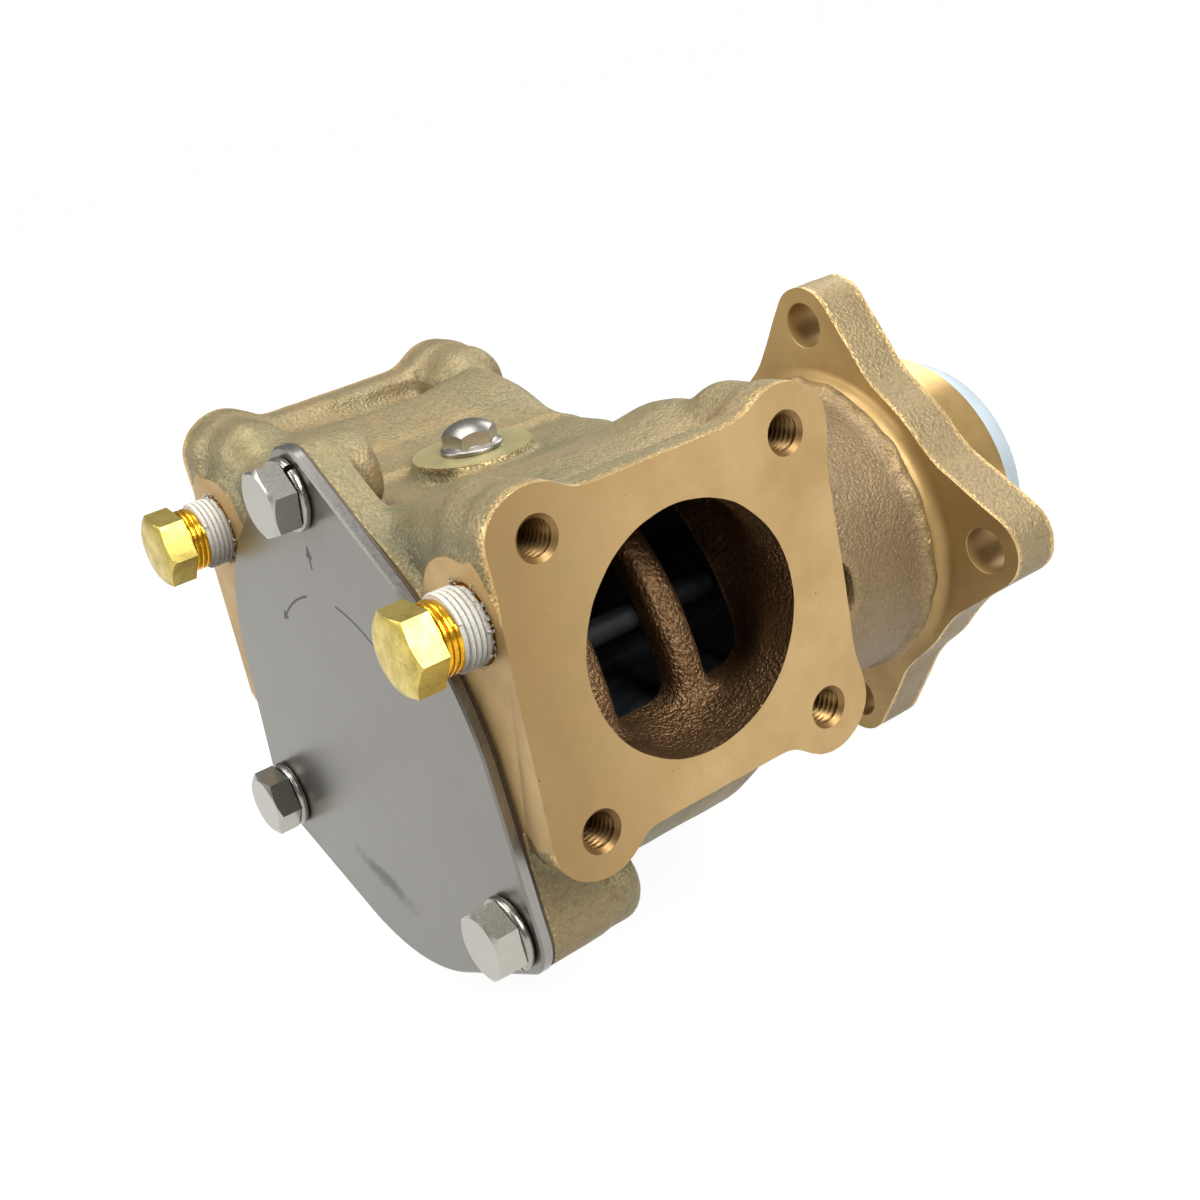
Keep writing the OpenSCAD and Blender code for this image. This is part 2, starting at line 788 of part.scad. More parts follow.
module seal_face() {
    color("#3a3a3c") ring_y(seat_y - face_t, seat_y - fit_gap, shaft_r + 0.3, seat_r - 1.5);
}

module seal_bellows() {
    bellows_r = shaft_r + 2.6;
    bellows_y = chamber_back_y + 0.5;
    color("#232324") difference() {
        union() {
            bar_y(bellows_y, seat_y - face_t, bellows_r);
            bar_y(seat_y - face_t - 1, seat_y - face_t, seat_r - 1);
        }
        bar_y(bellows_y - embed, seat_y, shaft_r);
    }
}

// One coil spring as a swept tube: points on a helix, each ring square to it
spring_r = seat_r - 2.2;
spring_wire_r = 0.5;
spring_turns = 2;

module seal_spring() {
    sides = 6;
    steps = 20;
    y0 = chamber_back_y + 0.5 + spring_wire_r;
    y1 = seat_y - face_t - 1 - spring_wire_r - 0.1;
    count = floor(steps * spring_turns);
    points = [
        for (i = [0:count], k = [0:sides - 1])
            let (a = 360 * i / steps, w = 360 * k / sides, r = spring_r + spring_wire_r * cos(w))
                [r * cos(a), y0 + (y1 - y0) * i / count + spring_wire_r * sin(w), r * sin(a)]
    ];
    skin = [
        for (i = [0:count - 1], k = [0:sides - 1])
            let (n = (k + 1) % sides)
                [i * sides + k, i * sides + n, (i + 1) * sides + n, (i + 1) * sides + k]
    ];
    start_cap = [for (k = [0:sides - 1]) sides - 1 - k];
    end_cap = [for (k = [0:sides - 1]) count * sides + k];
    color("#b4b4b0") polyhedron(points, concat(skin, [start_cap, end_cap]));
}

module slinger() {
    slinger_y = (weep_y + weep_back_y) / 2;
    hub_half_w = (weep_back_y - weep_y) * 0.15;
    lip_half_w = hub_half_w * 0.3;
    color("#232324") turned_y() polygon([
        [shaft_r, slinger_y - hub_half_w],
        [shaft_r * 1.3, slinger_y - hub_half_w],
        [shaft_r * 1.8, slinger_y - lip_half_w],
        [shaft_r * 1.8, slinger_y + lip_half_w],
        [shaft_r * 1.3, slinger_y + hub_half_w],
        [shaft_r, slinger_y + hub_half_w]
    ]);
}

module lip_seal() {
    color("#2b2b2d") turned_y() polygon([
        [lip_seal_r, lip_seal_y],
        [lip_seal_r, lip_seal_back_y - 0.2],
        [lip_seal_r - 1.5, lip_seal_back_y - 0.2],
        [lip_seal_r - 1.5, lip_seal_y + 1.5],
        [shaft_r + 2.5, lip_seal_y + 1.5],
        [shaft_r + 2, lip_seal_y + 4.5],
        [shaft_r + fit_gap, lip_seal_y + 3.5],
        [shaft_r + 1, lip_seal_y]
    ]);
}

// Deep-groove ball bearing pieces, for a bearing that starts at y
module inner_race(y) {
    difference() {
        ring_y(y, y + bearing_w, shaft_r, race_inner_r);
        ball_groove(y);
    }
}

module outer_race(y) {
    difference() {
        ring_y(y, y + bearing_w, race_outer_r, bearing_r);
        ball_groove(y);
    }
}

module ball_groove(y) {
    turned_y() translate([ball_pitch_r, y + bearing_w / 2]) circle(groove_r);
}

module ball_set(y, r) {
    for (i = [0:ball_count - 1])
        rotate([0, 360 / ball_count * i, 0]) translate([ball_pitch_r, y + bearing_w / 2, 0]) sphere(r);
}

module ball_cage(y) {
    middle = y + bearing_w / 2;
    difference() {
        ring_y(middle - cage_half_w, middle + cage_half_w,
            ball_pitch_r - cage_half_t, ball_pitch_r + cage_half_t);
        for (i = [0:ball_count - 1])
            rotate([0, 360 / ball_count * i, 0]) translate([ball_pitch_r, middle, 0])
                rotate([0, 90, 0]) cylinder(h = 4 * cage_half_t, r = ball_r + fit_gap, center = true);
    }
}

module front_inner_race() {
    color("#c9c9c7") inner_race(front_bearing_y);
}

module front_outer_race() {
    color("#c9c9c7") outer_race(front_bearing_y);
}

module front_balls() {
    color("#d6d6d4") ball_set(front_bearing_y, ball_r);
}

module front_cage() {
    color("#b39a55") ball_cage(front_bearing_y);
}

module rear_inner_race() {
    color("#c9c9c7") inner_race(rear_bearing_front_y);
}

module rear_outer_race() {
    color("#c9c9c7") outer_race(rear_bearing_front_y);
}

module rear_balls() {
    color("#d6d6d4") ball_set(rear_bearing_front_y, ball_r);
}

module rear_cage() {
    color("#b39a55") ball_cage(rear_bearing_front_y);
}

module bearing_spacer() {
    color("#a9a9a6") ring_y(front_bearing_back_y, rear_bearing_front_y, shaft_r, shaft_r + 3);
}

// Internal circlip in the pilot, and the circlip on the shaft
module bearing_circlip() {
    color("#6e6e6c") difference() {
        ring_y(rear_bearing_y, rear_bearing_y + circlip_t, bearing_r - 2.6, circlip_groove_r);
        translate([0, rear_bearing_y, -bearing_r]) cube([12, 4 * circlip_t, 12], center = true);
    }
}

module shaft_circlip() {
    groove_y = rear_bearing_y + 0.1;
    color("#6e6e6c") difference() {
        ring_y(groove_y, groove_y + 1.2, shaft_r - 0.8, shaft_r + 1.6);
        translate([0, groove_y, -shaft_r]) cube([7, 6, 6], center = true);
    }
}

// Soft cap that plugs into the pilot and covers the shaft's end
module protective_cap() {
    edge_r = 3;
    skirt_r = cap_seat_r - slip_gap;
    cap_y = pilot_len + fit_gap;
    cap_end_y = pilot_len + cap_len;
    color("#bcc8cc") difference() {
        turned_y() {
            translate([0, cap_y]) square([cap_r, cap_len - edge_r - fit_gap]);
            translate([0, cap_y]) square([cap_r - edge_r, cap_len - fit_gap]);
            translate([cap_r - edge_r, cap_end_y - edge_r]) circle(edge_r);
            translate([0, cap_seat_y + slip_gap]) square([skirt_r, 4]);
        }
        bar_y(cap_seat_y, cap_end_y - cap_wall, skirt_r - cap_wall);
    }
}

pump_body();
cover_plate();
cover_gasket();
cover_screws();
spring_washers();
cam();
cam_screw();
plug_left();
plug_right();
thread_tape_left();
thread_tape_right();
wear_plate();
wear_plate_pin();
impeller();
impeller_bushing();
shaft();
impeller_key();
seal_seat();
seal_seat_cup();
seal_face();
seal_bellows();
seal_spring();
slinger();
lip_seal();
front_inner_race();
front_outer_race();
front_balls();
front_cage();
rear_inner_race();
rear_outer_race();
rear_balls();
rear_cage();
bearing_spacer();
bearing_circlip();
shaft_circlip();
protective_cap();
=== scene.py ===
"""Looks of the flexible-impeller seawater pump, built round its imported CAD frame."""

import math

import bmesh
import bpy
import numpy as np
from mathutils import Matrix, Vector


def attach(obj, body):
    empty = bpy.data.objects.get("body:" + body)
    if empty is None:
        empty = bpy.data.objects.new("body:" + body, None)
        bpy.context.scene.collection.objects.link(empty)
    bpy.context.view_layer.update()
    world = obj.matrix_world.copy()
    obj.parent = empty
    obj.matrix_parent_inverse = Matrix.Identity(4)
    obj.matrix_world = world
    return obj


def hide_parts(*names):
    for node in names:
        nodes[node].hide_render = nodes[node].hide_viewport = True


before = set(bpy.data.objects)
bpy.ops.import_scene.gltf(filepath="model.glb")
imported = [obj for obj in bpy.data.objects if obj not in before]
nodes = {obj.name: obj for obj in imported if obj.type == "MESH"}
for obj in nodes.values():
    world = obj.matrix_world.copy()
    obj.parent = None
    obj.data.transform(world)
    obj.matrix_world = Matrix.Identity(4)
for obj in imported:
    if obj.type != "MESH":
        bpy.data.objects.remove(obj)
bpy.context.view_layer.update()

MM = 0.001

# Sizes in millimetres, as the CAD frame has them, but for the top lug, which the photo shows shorter
FRONT_Y = -141.0
PORT_Y = -103.0
PORT_Z = 21.6
PORT_X = 62.5
PORT_R = 23.5
BOLT_HALF = 27.8
CORNER_R = 9.0
CHAMBER_R = 41.0
CHAMBER_BACK_Y = -75.0
BARREL_R = 46.0
BARREL_BACK_Y = -67.0
RIM_R = 51.4
RIM_LEN = 14.0
LUG_R = 9.2
LUG_LEN = 23.0
TOP_LUG_LEN = 13.2
COVER_BOLT_R = 52.9
COVER_ANGLES = (90, 210, 330)
PEDESTAL_R = 35.5
DRIVE_T = 12.0
DRIVE_BOLT_R = 47.6
DRIVE_R = 39.3
EAR_ANGLES = (0, 90, 180, 270)
EAR_R = 9.3
EAR_SIDE_R = 35.0
DRIVE_HOLE_R = 5.25
PILOT_R = 32.0
PILOT_LEN = 16.0
CAM_Y = -104.0
CAM_BOSS_R = 12.5
CAM_BOSS_Z = 48.6
PLUG_X = 52.0
PLUG_Z = 36.0
PLUG_R = 6.85
RIB_Y = -104.7
RIB_PITCH = 21.6
RIB_W = 7.8
RIB_T = 6.5
WEEP_Y = -47.5
BEARING_R = 26.0
BEARING_FRONT_Y = -29.0
BEARING_BACK_Y = 9.0
SHAFT_HOLE_R = 13.0
CAP_SEAT_R = 28.5
CAP_SEAT_Y = 12.5

# The cover plate's front and back faces
PLATE_Y = FRONT_Y - 3.0
PLATE_BACK_Y = FRONT_Y - 0.5

# The necks' floor, and the height of their roof at distances from the middle
NECK_FLOOR = -5.4
ROOF_AT_X = (0, 10, 20, 30, 38, 46, 51, 56)
ROOF_Z = (46.2, 46.4, 48.6, 51.4, 53.0, 52.6, 51.6, 52.6)

# The casting stands this far past a machined plane until it is cut there
ALLOWANCE = 3.0
CAST_FRONT_Y = FRONT_Y - ALLOWANCE - 1


def ring_spots(radius, angles):
    """Spots (x, z) on a circle about the shaft."""
    return [(radius * math.cos(math.radians(a)), radius * math.sin(math.radians(a))) for a in angles]


# Shader trees
class Tree:
    """A node tree being wired: add makes a node, put links or sets a socket, the others make common nodes."""

    def __init__(self, tree):
        self.tree = tree

    def add(self, kind, **values):
        node = self.tree.nodes.new(kind)
        for key, value in values.items():
            if hasattr(node, key):
                setattr(node, key, value)
            else:
                node.inputs[key.replace("_", " ")].default_value = value
        return node

    def put(self, socket, value):
        """Links a socket to another, or gives it a plain value."""
        if isinstance(value, bpy.types.NodeSocket):
            self.tree.links.new(value, socket)
        else:
            socket.default_value = value

    def made(self, kind, sockets, **values):
        """The first output of a new node, with its sockets linked or set by name."""
        node = self.add(kind, **values)
        for label, value in sockets.items():
            self.put(node.inputs[label], value)
        return node.outputs[0]

    def math(self, operation, *values):
        node = self.add("ShaderNodeMath", operation=operation)
        for socket, value in zip(node.inputs, values):
            self.put(socket, value)
        return node.outputs[0]

    def times(self, a, b):
        return self.math("MULTIPLY", a, b)

    def mix(self, factor, a, b):
        """Colour a where factor is 0, b where it is 1."""
        node = self.add("ShaderNodeMix", data_type="RGBA")
        self.put(node.inputs["Factor"], factor)
        self.put(node.inputs[6], a)
        self.put(node.inputs[7], b)
        return node.outputs[2]

    def span(self, value, from_low, from_high, to_low=0.0, to_high=1.0):
        """A value stretched from one range to another, and held at its ends."""
        node = self.add("ShaderNodeMapRange")
        for socket, number in zip(node.inputs, (value, from_low, from_high, to_low, to_high)):
            self.put(socket, number)
        return node.outputs[0]

    def noise(self, where, size_mm, detail=3.0, rough=0.55):
        """Cloudy noise about 0.5, its coarsest clouds about size_mm across."""
        node = self.add("ShaderNodeTexNoise", Scale=1 / (size_mm * MM), Detail=detail, Roughness=rough)
        self.tree.links.new(where, node.inputs["Vector"])
        return node.outputs[0]

    def cells(self, where, size_mm):
        """Distance to the nearest of many scattered points."""
        node = self.add("ShaderNodeTexVoronoi", Scale=1 / (size_mm * MM))
        self.tree.links.new(where, node.inputs["Vector"])
        return node.outputs["Distance"]

    def layered(self, tone, *layers):
        """A tone with other colours laid over it in turn, each given as (how much, colour)."""
        for factor, colour in layers:
            tone = self.mix(factor, tone, colour)
        return tone

    def split(self, vector):
        """A vector's X, Y and Z."""
        node = self.add("ShaderNodeSeparateXYZ")
        self.put(node.inputs[0], vector)
        return node.outputs

    def surface(self, into, tone, rough, height, depth_mm, strength):
        """What nearly every finish varies: its colour, roughness and relief."""
        self.put(into["Base Color"], tone)
        self.put(into["Roughness"], rough)
        bump = self.add("ShaderNodeBump", Strength=strength, Distance=depth_mm * MM)
        self.put(bump.inputs["Height"], height)
        self.put(into["Normal"], bump.outputs[0])

    def place(self):
        """The shaded point in the piece's own coordinates, which are the frame's."""
        return self.add("ShaderNodeTexCoord").outputs["Object"]

    def attribute(self, name):
        """A mask stored on the piece's points."""
        return self.add("ShaderNodeAttribute", attribute_name=name).outputs["Fac"]


def rgb(red, green, blue):
    """A colour typed as it looks on screen, from 0 to 255, made linear."""
    def linear(v):
        v = v / 255
        return v / 12.92 if v <= 0.04045 else ((v + 0.055) / 1.055) ** 2.4
    return (linear(red), linear(green), linear(blue), 1.0)


def effect_group(name, inputs, outputs, build):
    """A shader node group from coordinates to plain values; build wires it."""
    group = bpy.data.node_groups.new(name, "ShaderNodeTree")
    for label in inputs:
        group.interface.new_socket(label, in_out="INPUT", socket_type="NodeSocketVector")
    for label in outputs:
        group.interface.new_socket(label, in_out="OUTPUT", socket_type="NodeSocketFloat")
    tree = Tree(group)
    source = tree.add("NodeGroupInput")
    sink = tree.add("NodeGroupOutput")
    build(tree, source.outputs, sink.inputs)
    return group


def use(tree, group, **values):
    """Places an effect group in a material and returns its outputs."""
    node = tree.add("ShaderNodeGroup")
    node.node_tree = group
    for key, value in values.items():
        tree.put(node.inputs[key.replace("_", " ")], value)
    return node.outputs


def finish_of(name, build, **surface):
    """A material: surface gives the Principled shader's plain values, build wires what varies."""
    material = bpy.data.materials.new(name)
    material.use_nodes = True
    shader = material.node_tree.nodes["Principled BSDF"]
    for key, value in surface.items():
        shader.inputs[key.replace("_", " ")].default_value = value
    build(Tree(material.node_tree), shader.inputs)
    return material


# Distance fields
GRID_STEP = 1.1
GRID_LOW = np.array([-68.0, -146.0, -61.0])
GRID_HIGH = np.array([68.0, 21.0, 66.0])
grid_axes = [np.arange(low, high, GRID_STEP, dtype=np.float32) for low, high in zip(GRID_LOW, GRID_HIGH)]
GX = grid_axes[0][:, None, None]
GY = grid_axes[1][None, :, None]
GZ = grid_axes[2][None, None, :]

# Distances over the grid that several forms are measured by
TURN_R = np.hypot(GX, GZ)
OUT_X = np.abs(GX)
ALONG_PORT = GY - PORT_Y
UP_PORT = GZ - PORT_Z


def ramp(value, start, end):
    """0 at start and 1 at end, straight between and level beyond."""
    return np.clip((value - start) / (end - start), 0, 1)


def soft_union(a, b, blend):
    """Union of two fields with a fillet about as wide as blend."""
    h = np.clip(0.5 + 0.5 * (b - a) / blend, 0, 1)
    return b * (1 - h) + a * h - blend * h * (1 - h)


def soft_cut(a, b, blend):
    """Field a with field b taken out, and the edge between them rounded."""
    return -soft_union(-a, b, blend)


def slab(axis, low, high):
    """Field of the space between two planes."""
    return np.abs(axis - (low + high) / 2) - (high - low) / 2


def extruded(outline, along, edge):
    """A flat outline's field pulled along a slab, with its edges rounded."""
    a = outline + edge
    b = along + edge
    return np.minimum(np.maximum(a, b), 0) + np.hypot(np.maximum(a, 0), np.maximum(b, 0)) - edge


def round_box(u, v, half_u, half_v, edge):
    """Field of a rectangle about the origin with rounded corners."""
    return extruded(np.abs(u) - half_u, np.abs(v) - half_v, edge)


def tapered_lug(u, v, angle, big_r, small_r, reach):
    """A big circle at the origin joined by tangents to a small one, reach away at angle."""
    c = math.cos(math.radians(angle))
    s = math.sin(math.radians(angle))
    along = u * c + v * s
    across = np.abs(-u * s + v * c)
    lean = (big_r - small_r) / reach
    side = math.sqrt(1 - lean * lean)
    at = -lean * across + side * along
    return np.where(at < 0, np.hypot(across, along) - big_r,
                    np.where(at > side * reach, np.hypot(across, along - reach) - small_r,
                             side * across + lean * along - big_r))


def value_noise(size_mm, seed):
    """Smooth random lumps over the grid, from -1 to 1."""
    rng = np.random.default_rng(seed)
    cell = size_mm / GRID_STEP
    shape = [len(a) for a in grid_axes]
    lumps = rng.uniform(-1, 1, [int(n / cell) + 3 for n in shape]).astype(np.float32)
    for axis, n in enumerate(shape):
        at = np.arange(n, dtype=np.float32) / cell
        low = at.astype(int)
        t = at - low
        t = (t * t * (3 - 2 * t)).reshape([-1 if k == axis else 1 for k in range(3)])
        lumps = np.take(lumps, low, axis) * (1 - t) + np.take(lumps, low + 1, axis) * t
    return lumps


def lugged_outline(lugs, angles, big_r, small_r, reach, blend):
    """An outline with a lug at each of the angles joined on."""
    for angle in angles:
        lug = tapered_lug(GX, GZ, angle, big_r, small_r, reach)
        lugs = soft_union(lugs, lug, blend) if blend else np.minimum(lugs, lug)
    return lugs


def barrel_and_pedestal():
    """Barrel with its round shoulder, and the pedestal behind it with a ragged lip where turning stopped."""
    inside_barrel_y = -80
    past_flange_y = 2
    lip_y = -DRIVE_T - 4.9
    lip_r = 1.9 - 0.8 * value_noise(3.0, 8)
    barrel = extruded(TURN_R - BARREL_R, slab(GY, CAST_FRONT_Y - 12, BARREL_BACK_Y), edge=10)
    pedestal = extruded(TURN_R - PEDESTAL_R, slab(GY, inside_barrel_y, past_flange_y), edge=1)
    field = soft_union(barrel, pedestal, blend=9)
    lip = np.hypot(TURN_R - PEDESTAL_R + 0.5, GY - lip_y) - lip_r
    return soft_union(field, lip, blend=1.6)


def with_cover_rim(field):
    """Rim with three lugs and the screw bosses behind them, thinner and shorter at the top."""
    boss_r = LUG_R - 0.3
    thinner = 7.0 * ramp(GZ, 40, 49)
    first = tapered_lug(GX, GZ, COVER_ANGLES[0], RIM_R, LUG_R, COVER_BOLT_R)
    rim = lugged_outline(first, COVER_ANGLES[1:], RIM_R, LUG_R, COVER_BOLT_R, blend=0)
    rim = extruded(rim, slab(GY, CAST_FRONT_Y, FRONT_Y + RIM_LEN - thinner), edge=1.8)
    field = soft_union(field, rim, blend=2.4)
    for x, z in ring_spots(COVER_BOLT_R, COVER_ANGLES):
        at_top = z > 0
        boss_end_y = FRONT_Y + (TOP_LUG_LEN if at_top else LUG_LEN)
        boss = np.hypot(GX - x, GZ - z) - boss_r
        boss = extruded(boss, slab(GY, CAST_FRONT_Y, boss_end_y), edge=3.0 if at_top else 5.0)
        field = soft_union(field, boss, blend=0.7)
    return field


def with_front_web(field):
    """Front web out to the port flanges, with a pad round each plug."""
    middle_z = 14.0
    half_height = 17.6
    pad_x = PLUG_X - 2
    pad_z = PLUG_Z - 0.5
    pad_r = 11.8
    web = round_box(GX, GZ - middle_z, PORT_X + 4, half_height, edge=2)
    for side in (-1, 1):
        web = soft_union(web, np.hypot(GX - side * pad_x, GZ - pad_z) - pad_r, blend=2)
    web = extruded(web, slab(GY, CAST_FRONT_Y, FRONT_Y + RIM_LEN), edge=2.5)
    return soft_union(field, web, blend=2.5)


def with_necks(field):
    """Both boxy necks, under a roof that rises outwards and humps up at the back."""
    middle_y = -105.2
    half_len = 34.2
    inner_x = 10
    hump = 2.4 * ramp(GY, -94, -80) * ramp(OUT_X, 12, 26) * ramp(OUT_X, 48, 36)
    # The left neck's roof falls away towards the back beside its flange
    fall = ramp(-GX, 38, 50) * np.clip((GY + 124) * 0.11, 0, 5)
    roof = np.interp(OUT_X, ROOF_AT_X, ROOF_Z).astype(np.float32) + hump - fall
    middle_z = (roof + NECK_FLOOR) / 2
    half_height = (roof - NECK_FLOOR) / 2
    neck = round_box(GY - middle_y, GZ - middle_z, half_len, half_height, edge=9.0)
    # Under a sloping roof the field reads too long, so it is shortened a little
    neck = np.maximum(neck * 0.96, inner_x - OUT_X)
    neck = np.maximum(neck, OUT_X - PORT_X)
    return soft_union(field, neck, blend=5)


def with_port_flanges(field):
    """Square flanges, waisted between round corners, and a long bolt boss behind each corner."""
    half_len = 36.8
    flange_t = 8
    boss_len = 24.0
    boss_r = CORNER_R - 0.3
    waist = np.where(UP_PORT > 0, np.where(GX > 0, 33.4, 33.0), 32.2)
    outline = extruded(np.abs(ALONG_PORT) - half_len, np.abs(UP_PORT) - waist, edge=4)
    corners = np.hypot(np.abs(ALONG_PORT) - BOLT_HALF, np.abs(UP_PORT) - BOLT_HALF)
    outline = soft_union(outline, corners - CORNER_R, blend=5)
    flange = extruded(outline, slab(OUT_X, PORT_X - flange_t, PORT_X + ALLOWANCE), edge=2.2)
    field = soft_union(field, flange, blend=3)
    # Each boss ends in a ball
    ball_x = PORT_X - boss_len + boss_r
    boss = np.hypot(corners, np.minimum(OUT_X - ball_x, 0)) - boss_r
    boss = np.maximum(boss, OUT_X - PORT_X)
    return soft_union(field, boss, blend=2.6)


def with_cam_boss(field):
    """The cam screw's boss, a little wider at its foot."""
    foot_z = 36
    widening = 0.18
    boss = np.hypot(GX, GY - CAM_Y) - CAM_BOSS_R - np.maximum(CAM_BOSS_Z - GZ, 0) * widening
    boss = extruded(boss, slab(GZ, foot_z, CAM_BOSS_Z + 2), edge=0.5)
    return soft_union(field, boss, blend=2.0)


def with_drive_end(field):
    """Drive flange with four ears, and the pilot on it."""
    flange = lugged_outline(TURN_R - DRIVE_R, EAR_ANGLES, EAR_SIDE_R, EAR_R, DRIVE_BOLT_R, blend=2.5)
    flange = extruded(flange, slab(GY, -DRIVE_T - ALLOWANCE, ALLOWANCE), edge=1.0)
    pilot = extruded(TURN_R - PILOT_R - 2, slab(GY, -2, PILOT_LEN + ALLOWANCE), edge=1.0)
    return np.minimum(np.minimum(field, flange), pilot)


def with_waterways(field):
    """Cored water passages, boxy inside and round at the flange, with ribs left across their windows."""
    inner_x = 24
    box = round_box(GY + 106.2, GZ - 22.9, 28.7, 22.1, edge=7.0)
    bore = np.hypot(ALONG_PORT, UP_PORT) - PORT_R
    t = ramp(OUT_X, 41, 56)
    t = t * t * (3 - 2 * t)
    core = np.maximum(box * (1 - t) + bore * t, inner_x - OUT_X)
    field = soft_cut(field, core, blend=1.5)
    ribs = [round_box(TURN_R - CHAMBER_R, GY - RIB_Y - side * RIB_PITCH / 2, RIB_T, RIB_W / 2, edge=2.8)
            for side in (-1, 1)]
    ribs = np.maximum(np.minimum(*ribs), core - 2)
    return soft_union(field, ribs, blend=4.5), core


def casting_field():
    """The bronze casting before machining, in millimetres, and the core of its waterways."""
    field = barrel_and_pedestal()
    forms = (with_cover_rim, with_front_web, with_necks, with_port_flanges, with_cam_boss, with_drive_end)
    for with_form in forms:
        field = with_form(field)
    field, core = with_waterways(field)
    # Weep slots through the pedestal's sides
    slot_inner_x = 24
    slot = round_box(GY - WEEP_Y, GZ, 7.3, 7.0, edge=5.5)
    field = soft_cut(field, np.maximum(slot, slot_inner_x - OUT_X), blend=1.6)
    # Uneven sand-cast skin, ended just past the machined planes
    shrunk = 0.25
    field = field + shrunk + 0.16 * value_noise(9.0, 5) + 0.09 * value_noise(3.2, 6)
    past_planes = np.maximum(OUT_X - PORT_X - ALLOWANCE, FRONT_Y - ALLOWANCE - GY)
    return np.maximum(field, past_planes), core


def sampled(field, points):
    """The field's value at each point, between grid points."""
    at = (points - GRID_LOW) / GRID_STEP
    low = np.clip(at.astype(int), 0, np.array(field.shape) - 2)
    t = at - low
    total = 0
    for i in (0, 1):
        for j in (0, 1):
            for k in (0, 1):
                weight = ((t[:, 0] if i else 1 - t[:, 0]) * (t[:, 1] if j else 1 - t[:, 1])
                          * (t[:, 2] if k else 1 - t[:, 2]))
                total = total + weight * field[low[:, 0] + i, low[:, 1] + j, low[:, 2] + k]
    return total


def field_surface(field):
    """Points and quads of the surface where the field is zero, by surface nets."""
    inside = field < 0
    cells = [n - 1 for n in field.shape]
    offsets = [(i, j, k) for i in (0, 1) for j in (0, 1) for k in (0, 1)]
    count = sum(inside[i:i + cells[0], j:j + cells[1], k:k + cells[2]].astype(np.int8)
                for i, j, k in offsets)
    active = (count > 0) & (count < 8)
    where = np.argwhere(active)
    number = -np.ones(active.shape, np.int64)
    number[active] = np.arange(len(where))
    corner = np.stack([field[where[:, 0] + i, where[:, 1] + j, where[:, 2] + k] for i, j, k in offsets], 1)
    total = np.zeros((len(where), 3))
    crossings = np.zeros(len(where))
    for a in range(8):
        for b in range(a + 1, 8):
            if sum(abs(p - q) for p, q in zip(offsets[a], offsets[b])) != 1:
                continue
            crossed = (corner[:, a] < 0) != (corner[:, b] < 0)
            t = corner[crossed, a] / (corner[crossed, a] - corner[crossed, b])
            start = np.array(offsets[a])
            end = np.array(offsets[b])
            total[crossed] += start + t[:, None] * (end - start)
            crossings[crossed] += 1
    points = GRID_LOW + (where + total / crossings[:, None]) * GRID_STEP
    # Move the points onto the surface along the field's slope, in three short steps
    reach = 0.4
    for _ in range(3):
        value = sampled(field, points)
        slope = np.stack([(sampled(field, points + step) - sampled(field, points - step))
                          for step in np.eye(3) * reach], 1) / (2 * reach)
        move = value[:, None] * slope / np.maximum((slope ** 2).sum(1), 0.2)[:, None]
        points -= np.clip(move, -reach, reach)
    quads = []
    for axis in range(3):
        u, v = (axis + 1) % 3, (axis + 2) % 3
        first = [slice(None)] * 3
        second = [slice(None)] * 3
        first[axis] = slice(0, -1)
        second[axis] = slice(1, None)
        for outward in (True, False):
            change = inside[tuple(first)] & ~inside[tuple(second)]
            if not outward:
                change = ~inside[tuple(first)] & inside[tuple(second)]
            edge = np.argwhere(change)
            edge = edge[(edge[:, u] > 0) & (edge[:, v] > 0)]
            ring = []
            for du, dv in ((1, 1), (0, 1), (0, 0), (1, 0)):
                cell = edge.copy()
                cell[:, u] -= du
                cell[:, v] -= dv
                ring.append(number[cell[:, 0], cell[:, 1], cell[:, 2]])
            ring = np.stack(ring, 1)
            quads.append(ring if outward else ring[:, ::-1])
    return points, np.concatenate(quads)


# Meshes
def mesh_piece(name, points, faces, materials, smooth=True):
    """A new object from points in millimetres; its place is in its mesh."""
    mesh = bpy.data.meshes.new(name)
    mesh.from_pydata([tuple(p) for p in np.asarray(points, float) * MM], [], [tuple(f) for f in faces])
    for material in materials:
        mesh.materials.append(material)
    mesh.polygons.foreach_set("use_smooth", [smooth] * len(mesh.polygons))
    mesh.update()
    piece = bpy.data.objects.new(name, mesh)
    bpy.context.scene.collection.objects.link(piece)
    return piece


def frame_of(axis):
    """The two directions square to an axis, and the axis itself, as columns of a matrix."""
    along = np.array(axis, float) / np.linalg.norm(axis)
    side = np.cross((0, 0, 1) if abs(along[2]) < 0.9 else (1, 0, 0), along)
    side /= np.linalg.norm(side)
    return np.stack([side, np.cross(along, side), along], 1)


def turned(profile, centre=(0, 0, 0), axis=(0, 0, 1), segments=64, twist=None):
    """Points and faces of a solid turned about an axis, from (radius, distance) pairs. For threads, twist
    gives each ring's extra radius at an angle."""
    turn = frame_of(axis)
    points = []
    rings = []
    faces = []
    for radius, height in profile:
        if radius == 0:
            rings.append([len(points)])
            points.append((0, 0, height))
            continue
        rings.append(list(range(len(points), len(points) + segments)))
        for k in range(segments):
            a = 2 * math.pi * k / segments
            r = radius + (twist(height, a) if twist else 0)
            points.append((r * math.cos(a), r * math.sin(a), height))
    for low, high in zip(rings, rings[1:]):
        for k in range(segments):
            n = (k + 1) % segments
            if len(low) == 1 and len(high) > 1:
                faces.append((low[0], high[n], high[k]))
            elif len(high) == 1 and len(low) > 1:
                faces.append((low[k], low[n], high[0]))
            elif len(low) > 1:
                faces.append((low[k], low[n], high[n], high[k]))
    return np.array(points) @ turn.T + np.array(centre), faces


